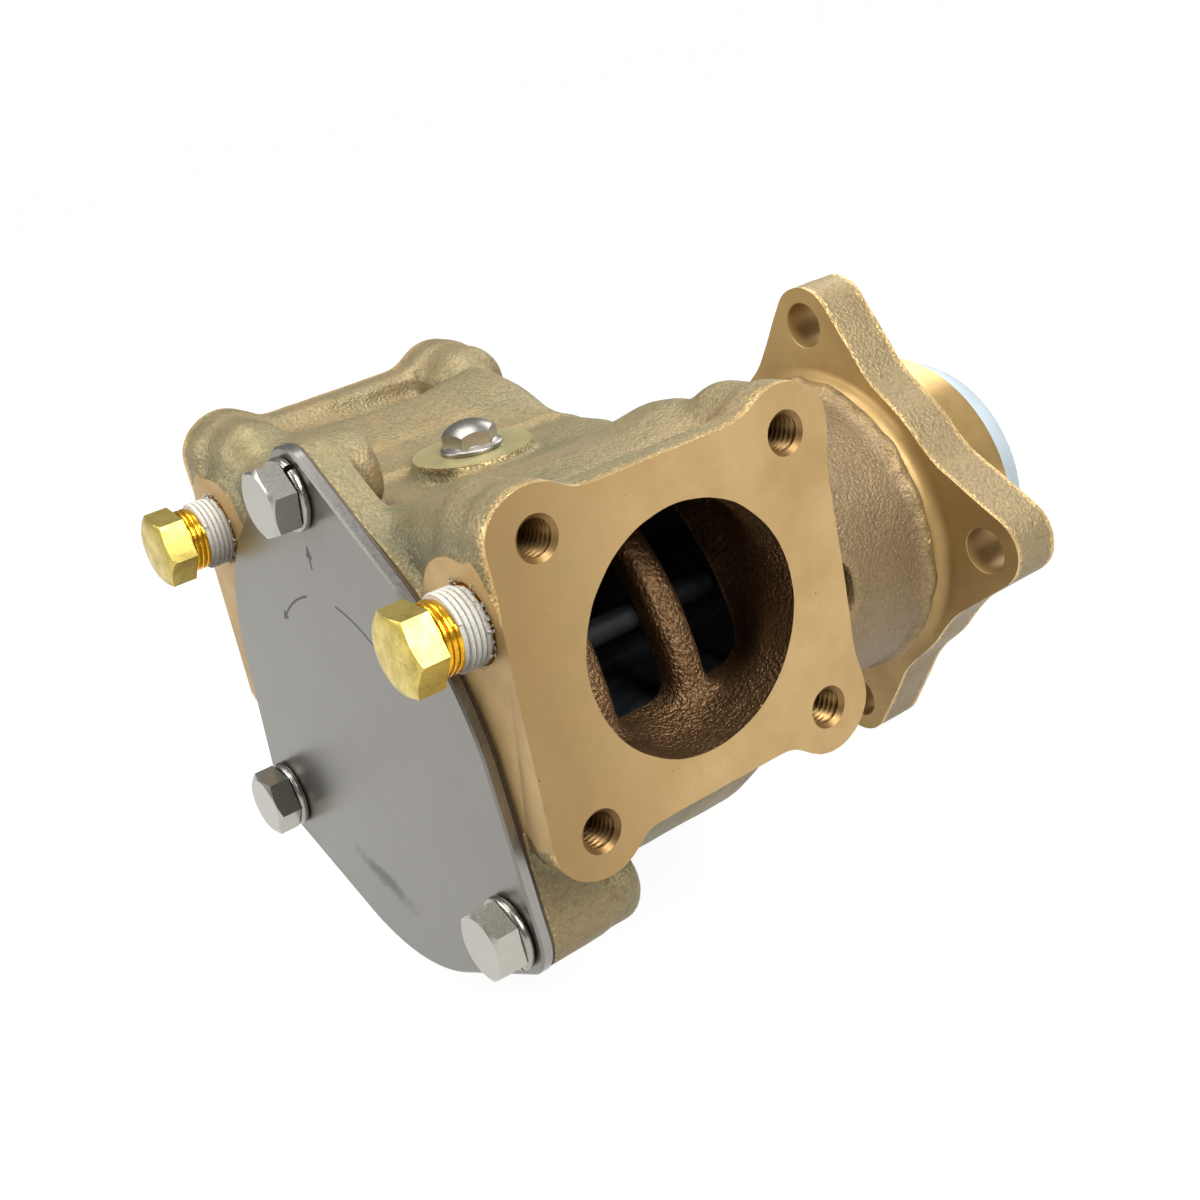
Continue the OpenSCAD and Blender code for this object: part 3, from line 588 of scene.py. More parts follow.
def joined(parts):
    """Several (points, faces) as one."""
    points = []
    faces = []
    base = 0
    for p, f in parts:
        points.append(np.asarray(p, float))
        faces += [tuple(i + base for i in face) for face in f]
        base += len(p)
    return np.concatenate(points), faces


def block(low, high):
    """A box between two corners."""
    points = [(x, y, z) for x in (low[0], high[0]) for y in (low[1], high[1]) for z in (low[2], high[2])]
    faces = [(0, 1, 3, 2), (4, 6, 7, 5), (0, 4, 5, 1), (2, 3, 7, 6), (0, 2, 6, 4), (1, 5, 7, 3)]
    return np.array(points, float), faces


def face_out(piece):
    """Merges doubles and turns every face outwards."""
    shape = bmesh.new()
    shape.from_mesh(piece.data)
    bmesh.ops.remove_doubles(shape, verts=shape.verts, dist=1e-7)
    bmesh.ops.recalc_face_normals(shape, faces=shape.faces)
    shape.to_mesh(piece.data)
    shape.free()


def applied(piece):
    """Makes a piece's modifiers part of its mesh."""
    seen = piece.evaluated_get(bpy.context.evaluated_depsgraph_get())
    mesh = bpy.data.meshes.new_from_object(seen)
    old = piece.data
    piece.modifiers.clear()
    piece.data = mesh
    bpy.data.meshes.remove(old)


def machined(piece, parts, finish):
    """Cuts parts, given as (points, faces), out of a piece; the cut faces take the finish."""
    cutter = mesh_piece("cutter", *joined(parts), [finish])
    face_out(cutter)
    modifier = piece.modifiers.new("cut", "BOOLEAN")
    modifier.operation = "DIFFERENCE"
    modifier.solver = "MANIFOLD"
    modifier.material_mode = "TRANSFER"
    modifier.object = cutter
    applied(piece)
    bpy.data.objects.remove(cutter)


def tapped(depth, drill_r, thread_r, pitch, mouth_r, out=1.0):
    """Profile and twist of a tapped hole's cutter, along the way out, with the mouth at 0."""
    rows_per_turn = 6
    rows = int(depth / pitch * rows_per_turn)
    profile = [(0, -depth - 1.5), (drill_r, -depth)]
    profile += [(drill_r, -depth + depth * k / rows) for k in range(1, rows)]
    profile = [p for p in profile if p[1] < drill_r - mouth_r - 0.05]
    profile += [(drill_r, drill_r - mouth_r), (mouth_r + out, out), (0, out)]

    def twist(height, angle):
        turn = (height / pitch - angle / (2 * math.pi)) % 1
        near_end = min(1, max(0, (drill_r - mouth_r - height) / 0.5)) * (height > -depth + 0.1)
        return (thread_r - drill_r) * (1 - abs(2 * turn - 1)) * near_end
    return profile, twist


def placed(part, centre, axis, turn=0.0):
    """A part built standing on Z = 0, turned by an angle and then stood on centre along axis."""
    points, faces = part
    c = math.cos(math.radians(turn))
    s = math.sin(math.radians(turn))
    spun = np.asarray(points, float) @ np.array(((c, s, 0), (-s, c, 0), (0, 0, 1)))
    return spun @ frame_of(axis).T + np.array(centre), faces


def hexagon(across, height, turned_off=0.95, slope=0.577, crown=0.0, segments=96, dome_r=None):
    """A hexagon head on Z = 0, a corner at angle 0, with its top corners turned off or a domed top."""
    angles = np.arange(segments) * 2 * math.pi / segments
    outer = across / 2 / np.cos(angles % (math.pi / 3) - math.pi / 6)
    rim = across / 2 * turned_off
    # The foot's broken edge, then the sides up to where the corners are turned off
    rings = [(outer * 0.985, 0 * outer), (outer, 0 * outer + 0.12),
             (outer, height - crown - np.maximum(outer - rim, 0) * slope)]
    for share in (1, 0.8, 0.55, 0.3):
        rings.append((rim * share + 0 * outer, height - crown * share ** 2 + 0 * outer))
    if dome_r:
        rings = rings[:2]
        for share in (1, 0.97, 0.9, 0.8, 0.68, 0.54, 0.4, 0.25, 0.12):
            drop = dome_r - np.sqrt(dome_r ** 2 - (outer * share) ** 2)
            rings.append((outer * share, height - drop))
    points = [(0, 0, 0)]
    for radius, level in rings:
        points += list(zip(radius * np.cos(angles), radius * np.sin(angles), level))
    points.append((0, 0, height))
    faces = []
    for k in range(segments):
        n = (k + 1) % segments
        faces.append((0, 1 + n, 1 + k))
        for ring in range(len(rings) - 1):
            low = 1 + ring * segments
            high = low + segments
            faces.append((low + k, low + n, high + n, high + k))
        faces.append((high + k, high + n, len(points) - 1))
    return np.array(points), faces


def shape_group(name, inputs, build):
    """A geometry node tree with named inputs; what build makes is realized and given its finish."""
    group = bpy.data.node_groups.new(name, "GeometryNodeTree")
    kinds = {"value": "NodeSocketFloat", "shape": "NodeSocketGeometry", "finish": "NodeSocketMaterial",
             "object": "NodeSocketObject"}
    for label, kind in inputs:
        group.interface.new_socket(label, in_out="INPUT", socket_type=kinds[kind])
    group.interface.new_socket("Finish", in_out="INPUT", socket_type=kinds["finish"])
    group.interface.new_socket("Shape", in_out="OUTPUT", socket_type=kinds["shape"])
    tree = Tree(group)
    given = tree.add("NodeGroupInput").outputs
    real = tree.made("GeometryNodeRealizeInstances", {"Geometry": build(tree, given)})
    painted = tree.made("GeometryNodeSetMaterial", {"Geometry": real, "Material": given["Finish"]})
    tree.put(tree.add("NodeGroupOutput").inputs[0], painted)
    return group


def grown(name, group, base, finish, **sizes):
    """A piece made by a geometry node tree from a base mesh, turned into a plain mesh."""
    piece = bpy.data.objects.new(name, base)
    bpy.context.scene.collection.objects.link(piece)
    modifier = piece.modifiers.new("made", "NODES")
    modifier.node_group = group
    sockets = {item.name: item.identifier for item in group.interface.items_tree if item.in_out == "INPUT"}
    modifier[sockets["Finish"]] = finish
    for key, value in sizes.items():
        modifier[sockets[key.replace("_", " ")]] = value
    applied(piece)
    piece.name = name
    return piece


def wire_wound_band(tree, given):
    """A round-cornered band wound about Z: tape turns, thread ridges and split washers."""
    path_sizes = {label: given[label] for label in ("Rotations", "Start Radius", "End Radius", "Height")}
    path = tree.made("GeometryNodeCurveSpiral", {"Resolution": 72, **path_sizes})
    path = tree.made("GeometryNodeSetCurveNormal", {"Curve": path}, mode="Z_UP")
    section = tree.made("GeometryNodeCurvePrimitiveQuadrilateral",
                        {"Width": given["Band Depth"], "Height": given["Band Width"]})
    section = tree.made("GeometryNodeFilletCurve",
                        {"Curve": section, "Count": 4, "Radius": given["Band Corner"]}, mode="POLY")
    band = tree.made("GeometryNodeCurveToMesh", {"Curve": path, "Profile Curve": section, "Fill Caps": True})
    lift = tree.made("ShaderNodeCombineXYZ", {"Z": given["Rise"]})
    band = tree.made("GeometryNodeTransform", {"Geometry": band, "Translation": lift})
    return tree.made("GeometryNodeSetShadeSmooth", {"Geometry": band})


def wire_set_facing_front(tree, given):
    """A part set on every point of the base mesh at that point's turn, then all of it stood to face -Y."""
    angle = tree.add("GeometryNodeInputNamedAttribute", data_type="FLOAT", Name="turn").outputs["Attribute"]
    part = tree.add("GeometryNodeObjectInfo")
    tree.put(part.inputs["Object"], given["Part"])
    copies = tree.made("GeometryNodeInstanceOnPoints", {
        "Points": tree.made("GeometryNodeMeshToPoints", {"Mesh": given["Spots"]}),
        "Instance": part.outputs["Geometry"],
        "Rotation": tree.made("ShaderNodeCombineXYZ", {"Z": angle}),
    })
    return tree.made("GeometryNodeTransform", {"Geometry": copies, "Rotation": (math.pi / 2, 0, 0)})


BAND_SIZES = ("Rotations", "Start Radius", "End Radius", "Height", "Band Depth", "Band Width", "Band Corner",
              "Rise")
wound_band = shape_group("wound_band", [(label, "value") for label in BAND_SIZES], wire_wound_band)
set_facing_front = shape_group("set_facing_front", [("Spots", "shape"), ("Part", "object")],
                               wire_set_facing_front)


def wound(name, finish, turns, radii, climb, depth, width, corner, rise):
    """A band wound about Z, with its sizes in millimetres."""
    return grown(name, wound_band, bpy.data.meshes.new(name), finish, Rotations=turns,
                 Start_Radius=radii[0] * MM, End_Radius=radii[1] * MM, Height=climb * MM, Rise=rise * MM,
                 Band_Depth=depth * MM, Band_Width=width * MM, Band_Corner=corner * MM)


def set_in_front(name, part, spots, finish):
    """Copies of a part on spots, each (x, z, distance in front of the origin, turn in degrees)."""
    base = bpy.data.meshes.new(name)
    base.from_pydata([(x * MM, z * MM, out * MM) for x, z, out, turn in spots], [], [])
    layer = base.attributes.new("turn", "FLOAT", "POINT")
    layer.data.foreach_set("value", [math.radians(turn) for x, z, out, turn in spots])
    piece = grown(name, set_facing_front, base, finish, Part=part)
    bpy.data.objects.remove(part)
    face_out(piece)
    return piece


def joined_pieces(name, pieces):
    """Several objects made one, keeping their finishes."""
    bpy.context.view_layer.update()
    with bpy.context.temp_override(active_object=pieces[0], object=pieces[0], selected_objects=pieces,
                                   selected_editable_objects=pieces):
        bpy.ops.object.join()
    pieces[0].name = pieces[0].data.name = name
    return pieces[0]


def smoothed(piece, angle):
    """Smooth shading that stops at edges sharper than the angle."""
    piece.data.polygons.foreach_set("use_smooth", [True] * len(piece.data.polygons))
    piece.data.set_sharp_from_angle(angle=math.radians(angle))


def crisp(piece, angle):
    """A piece with its faces outwards and its sharp edges kept."""
    face_out(piece)
    smoothed(piece, angle)
    return piece


# Cutters' outlines, each as (distance from its axis, height along it)
FAR = 200.0
SHAFT_BORES = (
    # Impeller chamber
    (0, -150), (CHAMBER_R, -150), (CHAMBER_R, CHAMBER_BACK_Y),
    # Seal cavity, the seal cup's seat and a hole for the shaft
    (22, CHAMBER_BACK_Y), (22, -65), (19.5, -65), (19.5, -57), (SHAFT_HOLE_R, -57), (SHAFT_HOLE_R, -55.8),
    # Weep chamber and another hole for the shaft
    (26, -55.8), (26, -39.2), (SHAFT_HOLE_R, -39.2), (SHAFT_HOLE_R, -38),
    # Lip seal's seat
    (17.5, -38), (17.5, BEARING_FRONT_Y),
    # Bearings, their circlip's groove, and the seat of the cap
    (BEARING_R, BEARING_FRONT_Y), (BEARING_R, BEARING_BACK_Y), (BEARING_R + 1.2, BEARING_BACK_Y),
    (BEARING_R + 1.2, BEARING_BACK_Y + 1.5), (BEARING_R, BEARING_BACK_Y + 1.5), (BEARING_R, CAP_SEAT_Y),
    (CAP_SEAT_R, CAP_SEAT_Y), (CAP_SEAT_R, 40), (0, 40),
)
ROUND_PILOT = (
    (0, PILOT_LEN), (PILOT_R - 1, PILOT_LEN), (PILOT_R, PILOT_LEN - 1), (PILOT_R, 0), (90, 0), (90, 40),
    (0, 40),
)
CAM_SPOTFACE = ((0, CAM_BOSS_Z), (CAM_BOSS_R + 1.6, CAM_BOSS_Z), (CAM_BOSS_R + 1.6, 56), (0, 56))
CAM_SCREW_HOLE = ((0, 38), (3.05, 38), (3.05, 60), (0, 60))
DRIVE_HOLE = (
    (0, -20), (DRIVE_HOLE_R + 4.2, -16), (DRIVE_HOLE_R, -DRIVE_T + 0.2), (DRIVE_HOLE_R, -0.4),
    (DRIVE_HOLE_R + 5, 4.6), (0, 5),
)
SHAFT_AXIS = (0, 1, 0)
OUT_OF_FRONT = (0, -1, 0)


def behind_drive_flange():
    """Ring cutter that faces the drive flange's front down to a fillet round the pedestal."""
    foot_r = 34.7
    fillet = 3.2
    far_r = 90.0
    deep_y = -DRIVE_T - fillet - 0.5
    ring = [(far_r, deep_y), (foot_r, deep_y)]
    for a in np.radians(np.arange(0, 91, 15)):
        ring.append((foot_r + fillet * (1 - math.cos(a)), -DRIVE_T - fillet + fillet * math.sin(a)))
    return ring + [(far_r, -DRIVE_T), (far_r, deep_y)]


def drilled(depth, radius, chamfer, flare_r):
    """Cutter of a blind hole with its mouth at 0, chamfered out to flare_r just past it."""
    return [(0, -depth), (radius, -depth), (radius, -chamfer), (flare_r, 1), (0, 1)]


def port_holes():
    """The tapped M8 holes, four in each port flange."""
    profile, twist = tapped(depth=14, drill_r=3.4, thread_r=4.0, pitch=1.25, mouth_r=4.3)
    spots = [(side, PORT_Y + u * BOLT_HALF, PORT_Z + v * BOLT_HALF)
             for side in (1, -1) for u in (1, -1) for v in (1, -1)]
    return [turned(profile, (side * PORT_X, y, z), (side, 0, 0), 32, twist) for side, y, z in spots]


def plain_holes():
    """Holes for the cover screws, plugs, cam screw and drive flange's bolts."""
    holes = []
    for x, z in ring_spots(COVER_BOLT_R, COVER_ANGLES):
        depth = 11.4 if z > 0 else 14
        holes.append(turned(drilled(depth, 4.05, 0.8, 5.85), (x, FRONT_Y, z), OUT_OF_FRONT, 32))
    for side in (1, -1):
        outline = drilled(21, PLUG_R + 0.05, 0.9, PLUG_R + 1.9)
        holes.append(turned(outline, (side * PLUG_X, FRONT_Y, PLUG_Z), OUT_OF_FRONT, 48))
    holes.append(turned(CAM_SCREW_HOLE, (0, CAM_Y, 0), segments=32))
    holes += [turned(DRIVE_HOLE, (x, 0, z), SHAFT_AXIS, 48) for x, z in ring_spots(DRIVE_BOLT_R, EAR_ANGLES)]
    return holes


def pump_casting(field, cast, milled, turned_finish, faced, threaded, spotface):
    """The bronze body: one cast skin, then every machined plane, bore and hole cut out of it."""
    points, quads = field_surface(field)
    piece = mesh_piece("pump_casting", points, quads, [cast])
    past_right_port = block((PORT_X, -FAR, -FAR), (FAR, FAR, FAR))
    past_left_port = block((-FAR, -FAR, -FAR), (-PORT_X, FAR, FAR))
    past_front = block((-FAR, -FAR, -FAR), (FAR, FRONT_Y, FAR))
    cuts = (
        ([past_right_port, past_left_port], milled),
        ([past_front], milled),
        ([turned(ROUND_PILOT, axis=SHAFT_AXIS, segments=128)], turned_finish),
        ([turned(behind_drive_flange(), axis=SHAFT_AXIS, segments=128)], faced),
        ([turned(CAM_SPOTFACE, (0, CAM_Y, 0), segments=96)], spotface),
        ([turned(SHAFT_BORES, axis=SHAFT_AXIS, segments=128)], turned_finish),
        (port_holes(), threaded),
        (plain_holes(), faced),
    )
    for cutters, finish in cuts:
        machined(piece, cutters, finish)
    # The cuts leave tiny edges behind
    shape = bmesh.new()
    shape.from_mesh(piece.data)
    bmesh.ops.remove_doubles(shape, verts=shape.verts, dist=2e-6)
    bmesh.ops.dissolve_degenerate(shape, dist=2e-6, edges=shape.edges)
    shape.to_mesh(piece.data)
    shape.free()
    smoothed(piece, 32)
    return piece


# Effects shared by finishes
def wire_sand_grain(tree, given, out):
    """Sand-cast skin: fine crumbs on soft lumps, and scattered lighter specks painted as glints on the grain.
    """
    where = given["Place"]
    crumbs = tree.cells(where, 0.85)
    fine = tree.noise(where, 0.45, detail=2)
    lumps = tree.noise(where, 2.6, detail=2)
    height = tree.math("ADD", tree.times(crumbs, -0.8), fine)
    height = tree.math("ADD", height, tree.times(lumps, 0.7))
    # Some of the mould was packed smoother than the rest
    smoother = tree.span(tree.noise(where, 15, detail=2), 0.4, 0.6, 0.55, 1.1)
    tree.put(out["Height"], tree.times(height, smoother))
    # Painted glints: lighter specks scattered over the grain
    tree.put(out["Glints"], tree.span(tree.noise(where, 0.8, rough=0.75), 0.54, 0.72))
    tree.put(out["Pits"], tree.span(crumbs, 0.5, 0.85))


def wire_cutter_marks(tree, given, out):
    """Marks of a turning or milling tool: faint rings about an axis, and small pores in the casting."""
    where = given["Place"]
    rings = tree.add("ShaderNodeTexWave", wave_type="RINGS", rings_direction="X", Scale=420, Distortion=1.5,
                     Detail=2, Detail_Scale=1)
    tree.put(rings.inputs["Vector"], given["Ring Place"])
    streaks = tree.noise(where, 0.35, detail=2)
    seldom = tree.span(tree.noise(where, 2.2, detail=1), 0.56, 0.6)
    pore = tree.times(tree.span(tree.cells(where, 3.1), 0.075, 0.045), seldom)
    height = tree.math("ADD", tree.times(rings.outputs["Fac"], 0.5), tree.times(streaks, 0.5))
    tree.put(out["Height"], tree.math("SUBTRACT", height, tree.times(pore, 6)))
    tree.put(out["Pore"], pore)
    tree.put(out["Ring"], rings.outputs["Fac"])


def wire_brushed_lines(tree, given, out):
    """Long fine scratches along one direction, from a stretched noise."""
    lines = tree.noise(given["Stretched Place"], 0.5, detail=3, rough=0.65)
    tree.put(out["Lines"], lines)


sand_grain = effect_group("sand_cast_grain", ["Place"], ["Height", "Glints", "Pits"], wire_sand_grain)
cutter_marks = effect_group("cutter_marks", ["Place", "Ring Place"], ["Height", "Pore", "Ring"],
                            wire_cutter_marks)
brushed_lines = effect_group("brushed_lines", ["Stretched Place"], ["Lines"], wire_brushed_lines)


def moved(tree, where, shift_mm=(0, 0, 0), scale=(1, 1, 1), turn=(0, 0, 0)):
    """Coordinates shifted, then turned, then scaled."""
    node = tree.add("ShaderNodeMapping", vector_type="POINT")
    tree.put(node.inputs["Vector"], where)
    node.inputs["Location"].default_value = [s * MM for s in shift_mm]
    node.inputs["Rotation"].default_value = [math.radians(t) for t in turn]
    node.inputs["Scale"].default_value = scale
    return node.outputs[0]


# Finishes
def wire_cast_bronze(tree, into):
    """The casting's skin: patchy, pinkish over the bearings, with painted shade in its recesses and edges
    lighter from wear and painted highlight.
    """
    where = tree.place()
    along_shaft = tree.split(where)["Y"]
    grain = use(tree, sand_grain, Place=where)
    patches = tree.noise(where, 30)
    tints = tree.noise(where, 11, detail=4, rough=0.6)
    skin = tree.layered(
        tree.mix(tree.span(patches, 0.42, 0.6), rgb(150, 134, 98), rgb(138, 128, 94)),
        (tree.span(tints, 0.5, 0.75, 0, 0.45), rgb(150, 122, 90)),
        (tree.span(tints, 0.48, 0.3, 0, 0.5), rgb(124, 122, 92)),
        (tree.span(along_shaft, -0.074, -0.058, 0, 0.6), rgb(138, 110, 80)),
        (tree.span(along_shaft, -0.0135, -0.012, 0, 0.7), rgb(164, 146, 108)),
        # Painted shade: recesses darkened to a green-grey
        (tree.times(tree.attribute("hollow_shade"), 0.75), rgb(88, 90, 66)),
        # Greyer and darker on the upper sides near the front
        (tree.times(tree.attribute("greyed_upper_front"), 0.75), rgb(98, 98, 74)),
        # Lighter on convex edges: wear, and a painted highlight
        (tree.times(tree.attribute("wear_and_highlight"), 0.55), rgb(200, 164, 106)),
        (tree.times(grain["Pits"], 0.32), rgb(96, 80, 54)),
        # Painted glints on the grain
        (tree.times(grain["Glints"], 0.34), rgb(206, 174, 120)),
    )
    waterway = tree.attribute("waterway")
    # Darker browns inside the cored waterways, with painted glints on their grain
    waterway_tone = tree.layered(
        tree.mix(tree.span(tints, 0.35, 0.65), rgb(142, 110, 76), rgb(112, 88, 62)),
        (tree.times(grain["Glints"], 0.5), rgb(204, 154, 104)),
    )
    # Broken rim where a machined face meets the skin: bare metal, painted lighter than the machined faces as
    # a highlight
    torn = tree.span(tree.noise(where, 0.8, detail=4, rough=0.7), 0.3, 0.7, -0.4, 0.4)
    rim = tree.span(tree.math("ADD", tree.attribute("rim"), torn), 0.5, 0.75)
    # Painted glint: a silver-white spot on the crest
    glint_spots = tree.times(tree.attribute("crest_glint"), tree.noise(where, 1.3, rough=0.7))
    tone = tree.layered(
        skin,
        (waterway, waterway_tone),
        (tree.times(rim, 0.9), rgb(226, 192, 132)),
        (tree.span(glint_spots, 0.2, 0.26), rgb(236, 232, 222)),
    )
    bare = tree.math("MAXIMUM", tree.span(rim, 0, 1, 0.55, 0.8), tree.times(waterway, 0.85))
    tree.put(into["Metallic"], bare)
    rough = tree.math("SUBTRACT", tree.span(tints, 0.3, 0.7, 0.44, 0.55), tree.times(waterway, 0.08))
    rough = tree.math("SUBTRACT", rough, tree.times(rim, 0.1))
    height = tree.times(grain["Height"], tree.span(waterway, 0, 1, 1, 2.2))
    tree.surface(into, tone, rough, height, 0.22, 0.9)


def machined_bronze(name, light, dark, ring_axis, ring_shift=(0, 0, 0), rough=(0.38, 0.5), metallic=0.7,
                    shaded_front=False):
    """Machined bronze; rings of tool marks run about ring_axis through ring_shift; port faces can be given
    painted shade towards the front.
    """
    turn = {"X": (0, 0, 0), "Y": (0, 0, 90), "Z": (0, 90, 0)}[ring_axis]
    deep_bronze = rgb(150, 120, 76)

    def wire(tree, into):
        where = tree.place()
        ring_place = moved(tree, moved(tree, where, ring_shift), turn=turn)
        marks = use(tree, cutter_marks, Place=where, Ring_Place=ring_place)
        patches = tree.noise(where, 18)
        stains = tree.noise(where, 5, detail=5, rough=0.65)
        streaks = tree.noise(moved(tree, where, scale=(1, 0.3, 0.12)), 1.6, detail=4)
        tone = tree.layered(
            tree.mix(tree.span(patches, 0.35, 0.65), light, dark),
            (tree.span(stains, 0.5, 0.75, 0, 0.35), dark),
            (tree.times(marks["Ring"], 0.08), deep_bronze),
            (tree.span(streaks, 0.4, 0.75, 0, 0.3), dark),
        )
        if shaded_front:
            # Painted shade: the port faces are darker towards the front
            spot = tree.split(where)
            on_face = tree.span(tree.math("ABSOLUTE", spot["X"]), PORT_X * MM - 2e-4, PORT_X * MM - 1e-4)
            edge = tree.math("ADD", spot["Y"], tree.span(patches, 0.3, 0.7, -0.006, 0.006))
            darker = tree.times(on_face, tree.span(edge, -0.112, -0.136, 0, 0.75))
            tone = tree.mix(darker, tone, deep_bronze)
        tone = tree.mix(tree.times(marks["Pore"], 0.85), tone, rgb(54, 42, 28))
        tree.surface(into, tone, tree.span(stains, 0.3, 0.7, *rough), marks["Height"], 0.008, 0.6)
    return finish_of(name, wire, Metallic=metallic)


def steel(name, light, dark, stretch, rough, smudge_mm=None, metallic=1.0, depth_mm=0.003):
    """Stainless or ground steel with fine lines; stretch thins the noise across the brushing."""
    def wire(tree, into):
        where = tree.place()
        lines = use(tree, brushed_lines, Stretched_Place=moved(tree, where, scale=stretch))["Lines"]
        cloud = tree.noise(where, 14, detail=4)
        tone = tree.layered(
            tree.mix(tree.span(lines, 0.3, 0.7), dark, light),
            (tree.span(cloud, 0.45, 0.7, 0, 0.5), dark),
        )
        if smudge_mm:
            # A long slanting smudge, soft at its ends
            slanted = moved(tree, moved(tree, where, [-v for v in smudge_mm]), turn=(0, -17, 0))
            away = tree.add("ShaderNodeVectorMath", operation="LENGTH")
            tree.put(away.inputs[0], moved(tree, slanted, scale=(0.22, 1, 1)))
            uneven = tree.span(tree.noise(where, 3, detail=4), 0, 1, -0.0022, 0.0022)
            soft = tree.math("ADD", away.outputs["Value"], uneven)
            tone = tree.mix(tree.span(soft, 0.003, 0.001, 0, 0.85), tone, rgb(72, 70, 68))
        tree.surface(into, tone, tree.span(lines, 0.3, 0.7, *rough), lines, depth_mm, 0.4)
    return finish_of(name, wire, Metallic=metallic)


def yellow_brass_finish(name, light, dark, rough):
    """Turned or wrench-handled brass: cloudy tone, small scuffs and dents."""
    def wire(tree, into):
        where = tree.place()
        cloud = tree.noise(where, 4, detail=4)
        scuff = tree.noise(moved(tree, where, scale=(1, 0.35, 1)), 0.9, detail=4, rough=0.7)
        tone = tree.layered(
            tree.mix(tree.span(cloud, 0.4, 0.65), light, dark),
            (tree.span(scuff, 0.56, 0.7, 0, 0.55), rgb(122, 106, 50)),
        )
        tree.surface(into, tone, tree.span(cloud, 0.35, 0.7, *rough), scuff, 0.06, 0.5)
    return finish_of(name, wire, Metallic=0.9)


def wire_white_tape(tree, into):
    weave = tree.noise(tree.place(), 0.5, detail=4, rough=0.7)
    tone = tree.mix(tree.span(weave, 0.3, 0.6), rgb(180, 177, 166), rgb(210, 207, 197))
    tree.surface(into, tone, tree.span(weave, 0.3, 0.7, 0.55, 0.7), weave, 0.06, 0.6)


def wire_rubber(tree, into):
    where = tree.place()
    bloom = tree.noise(where, 5, detail=4)
    tone = tree.mix(tree.span(bloom, 0.45, 0.75), rgb(22, 23, 26), rgb(42, 44, 48))
    tree.surface(into, tone, tree.span(bloom, 0.3, 0.7, 0.5, 0.66), tree.noise(where, 0.7), 0.03, 0.5)


def wire_gasket(tree, into):
    fibre = tree.noise(tree.place(), 0.8, detail=5, rough=0.7)
    tone = tree.mix(fibre, rgb(62, 52, 44), rgb(112, 96, 80))
    tree.surface(into, tone, tree.span(fibre, 0.3, 0.7, 0.7, 0.85), fibre, 0.05, 0.6)


def wire_cap(tree, into):
    where = tree.place()
    cloud = tree.noise(where, 16)
    scuff = tree.noise(moved(tree, where, scale=(1, 0.2, 1)), 1.2, detail=4, rough=0.7)
    tone = tree.layered(
        tree.mix(tree.span(cloud, 0.4, 0.65), rgb(182, 195, 201), rgb(166, 180, 187)),
        (tree.span(scuff, 0.62, 0.8, 0, 0.3), rgb(226, 232, 234)),
    )
    tree.surface(into, tone, tree.span(scuff, 0.35, 0.7, 0.38, 0.55), cloud, 0.1, 0.3)


def plain_part(name, light, dark, size_mm, rough, **surface):
    """A finish for pieces inside the pump: two close tones, uneven gloss and a fine grain."""
    def wire(tree, into):
        where = tree.place()
        cloud = tree.noise(where, size_mm, detail=4)
        fine = tree.noise(where, size_mm / 8, detail=2)
        tone = tree.mix(tree.span(cloud, 0.35, 0.65), light, dark)
        tree.surface(into, tone, tree.span(cloud, 0.3, 0.7, *rough), fine, 0.01, 0.5)
    return finish_of(name, wire, **surface)


cast_bronze = finish_of("cast_bronze_skin", wire_cast_bronze)
# Milled faces, with painted shade on the port faces towards the front
milled_bronze = machined_bronze("milled_bronze", rgb(199, 169, 117), rgb(182, 150, 99), "X", (0, 160, 45),
                                shaded_front=True)
turned_bronze = machined_bronze("turned_bronze", rgb(206, 172, 112), rgb(188, 152, 94), "Y",
                                rough=(0.3, 0.42), metallic=0.85)
faced_bronze = machined_bronze("faced_bronze", rgb(188, 158, 102), rgb(172, 140, 88), "Y",
                               rough=(0.44, 0.56), metallic=0.6)
threaded_bronze = machined_bronze("threaded_bronze", rgb(168, 134, 84), rgb(120, 92, 56), "X", (0, 160, 45),
                                  rough=(0.34, 0.46), metallic=0.8)
spotfaced_bronze = machined_bronze("spotfaced_bronze", rgb(190, 180, 130), rgb(176, 166, 116), "Z",
                                   (0, -CAM_Y, 0))
inner_bronze = machined_bronze("inner_bronze", rgb(190, 152, 98), rgb(168, 132, 82), "Y")
cover_steel = steel("brushed_cover_steel", rgb(136, 133, 126), rgb(127, 124, 117), (1, 1, 0.05),
                    (0.27, 0.33), smudge_mm=(-7, PLATE_Y, -34.8), metallic=0.85)
bolt_steel = steel("bolt_steel", rgb(178, 175, 166), rgb(173, 170, 161), (1, 0.2, 1), (0.25, 0.28),
                   depth_mm=0.0006)
polished_steel = steel("polished_cam_screw_steel", rgb(160, 156, 149), rgb(146, 142, 135), (1, 1, 0.3),
                       (0.3, 0.38), depth_mm=0.001)
plate_edge_steel = steel("sheared_plate_edge", rgb(152, 149, 144), rgb(144, 141, 136), (0.5, 1, 0.5),
                         (0.26, 0.32), depth_mm=0.001)
washer_steel = steel("spring_washer_steel", rgb(170, 166, 158), rgb(154, 150, 142), (1, 0.3, 1), (0.22, 0.3),
                     depth_mm=0.0015)
etched_steel = steel("etched_marks", rgb(98, 95, 90), rgb(82, 80, 76), (1, 1, 0.3), (0.5, 0.6), metallic=0.6)
spring_steel = steel("oiled_spring_steel", rgb(104, 103, 102), rgb(70, 70, 72), (1, 0.2, 1), (0.28, 0.4))
ground_steel = steel("ground_bearing_steel", rgb(214, 214, 214), rgb(190, 190, 192), (1, 0.15, 1),
                     (0.12, 0.22))
yellow_brass = yellow_brass_finish("yellow_brass", rgb(216, 194, 104), rgb(184, 162, 80), (0.26, 0.38))
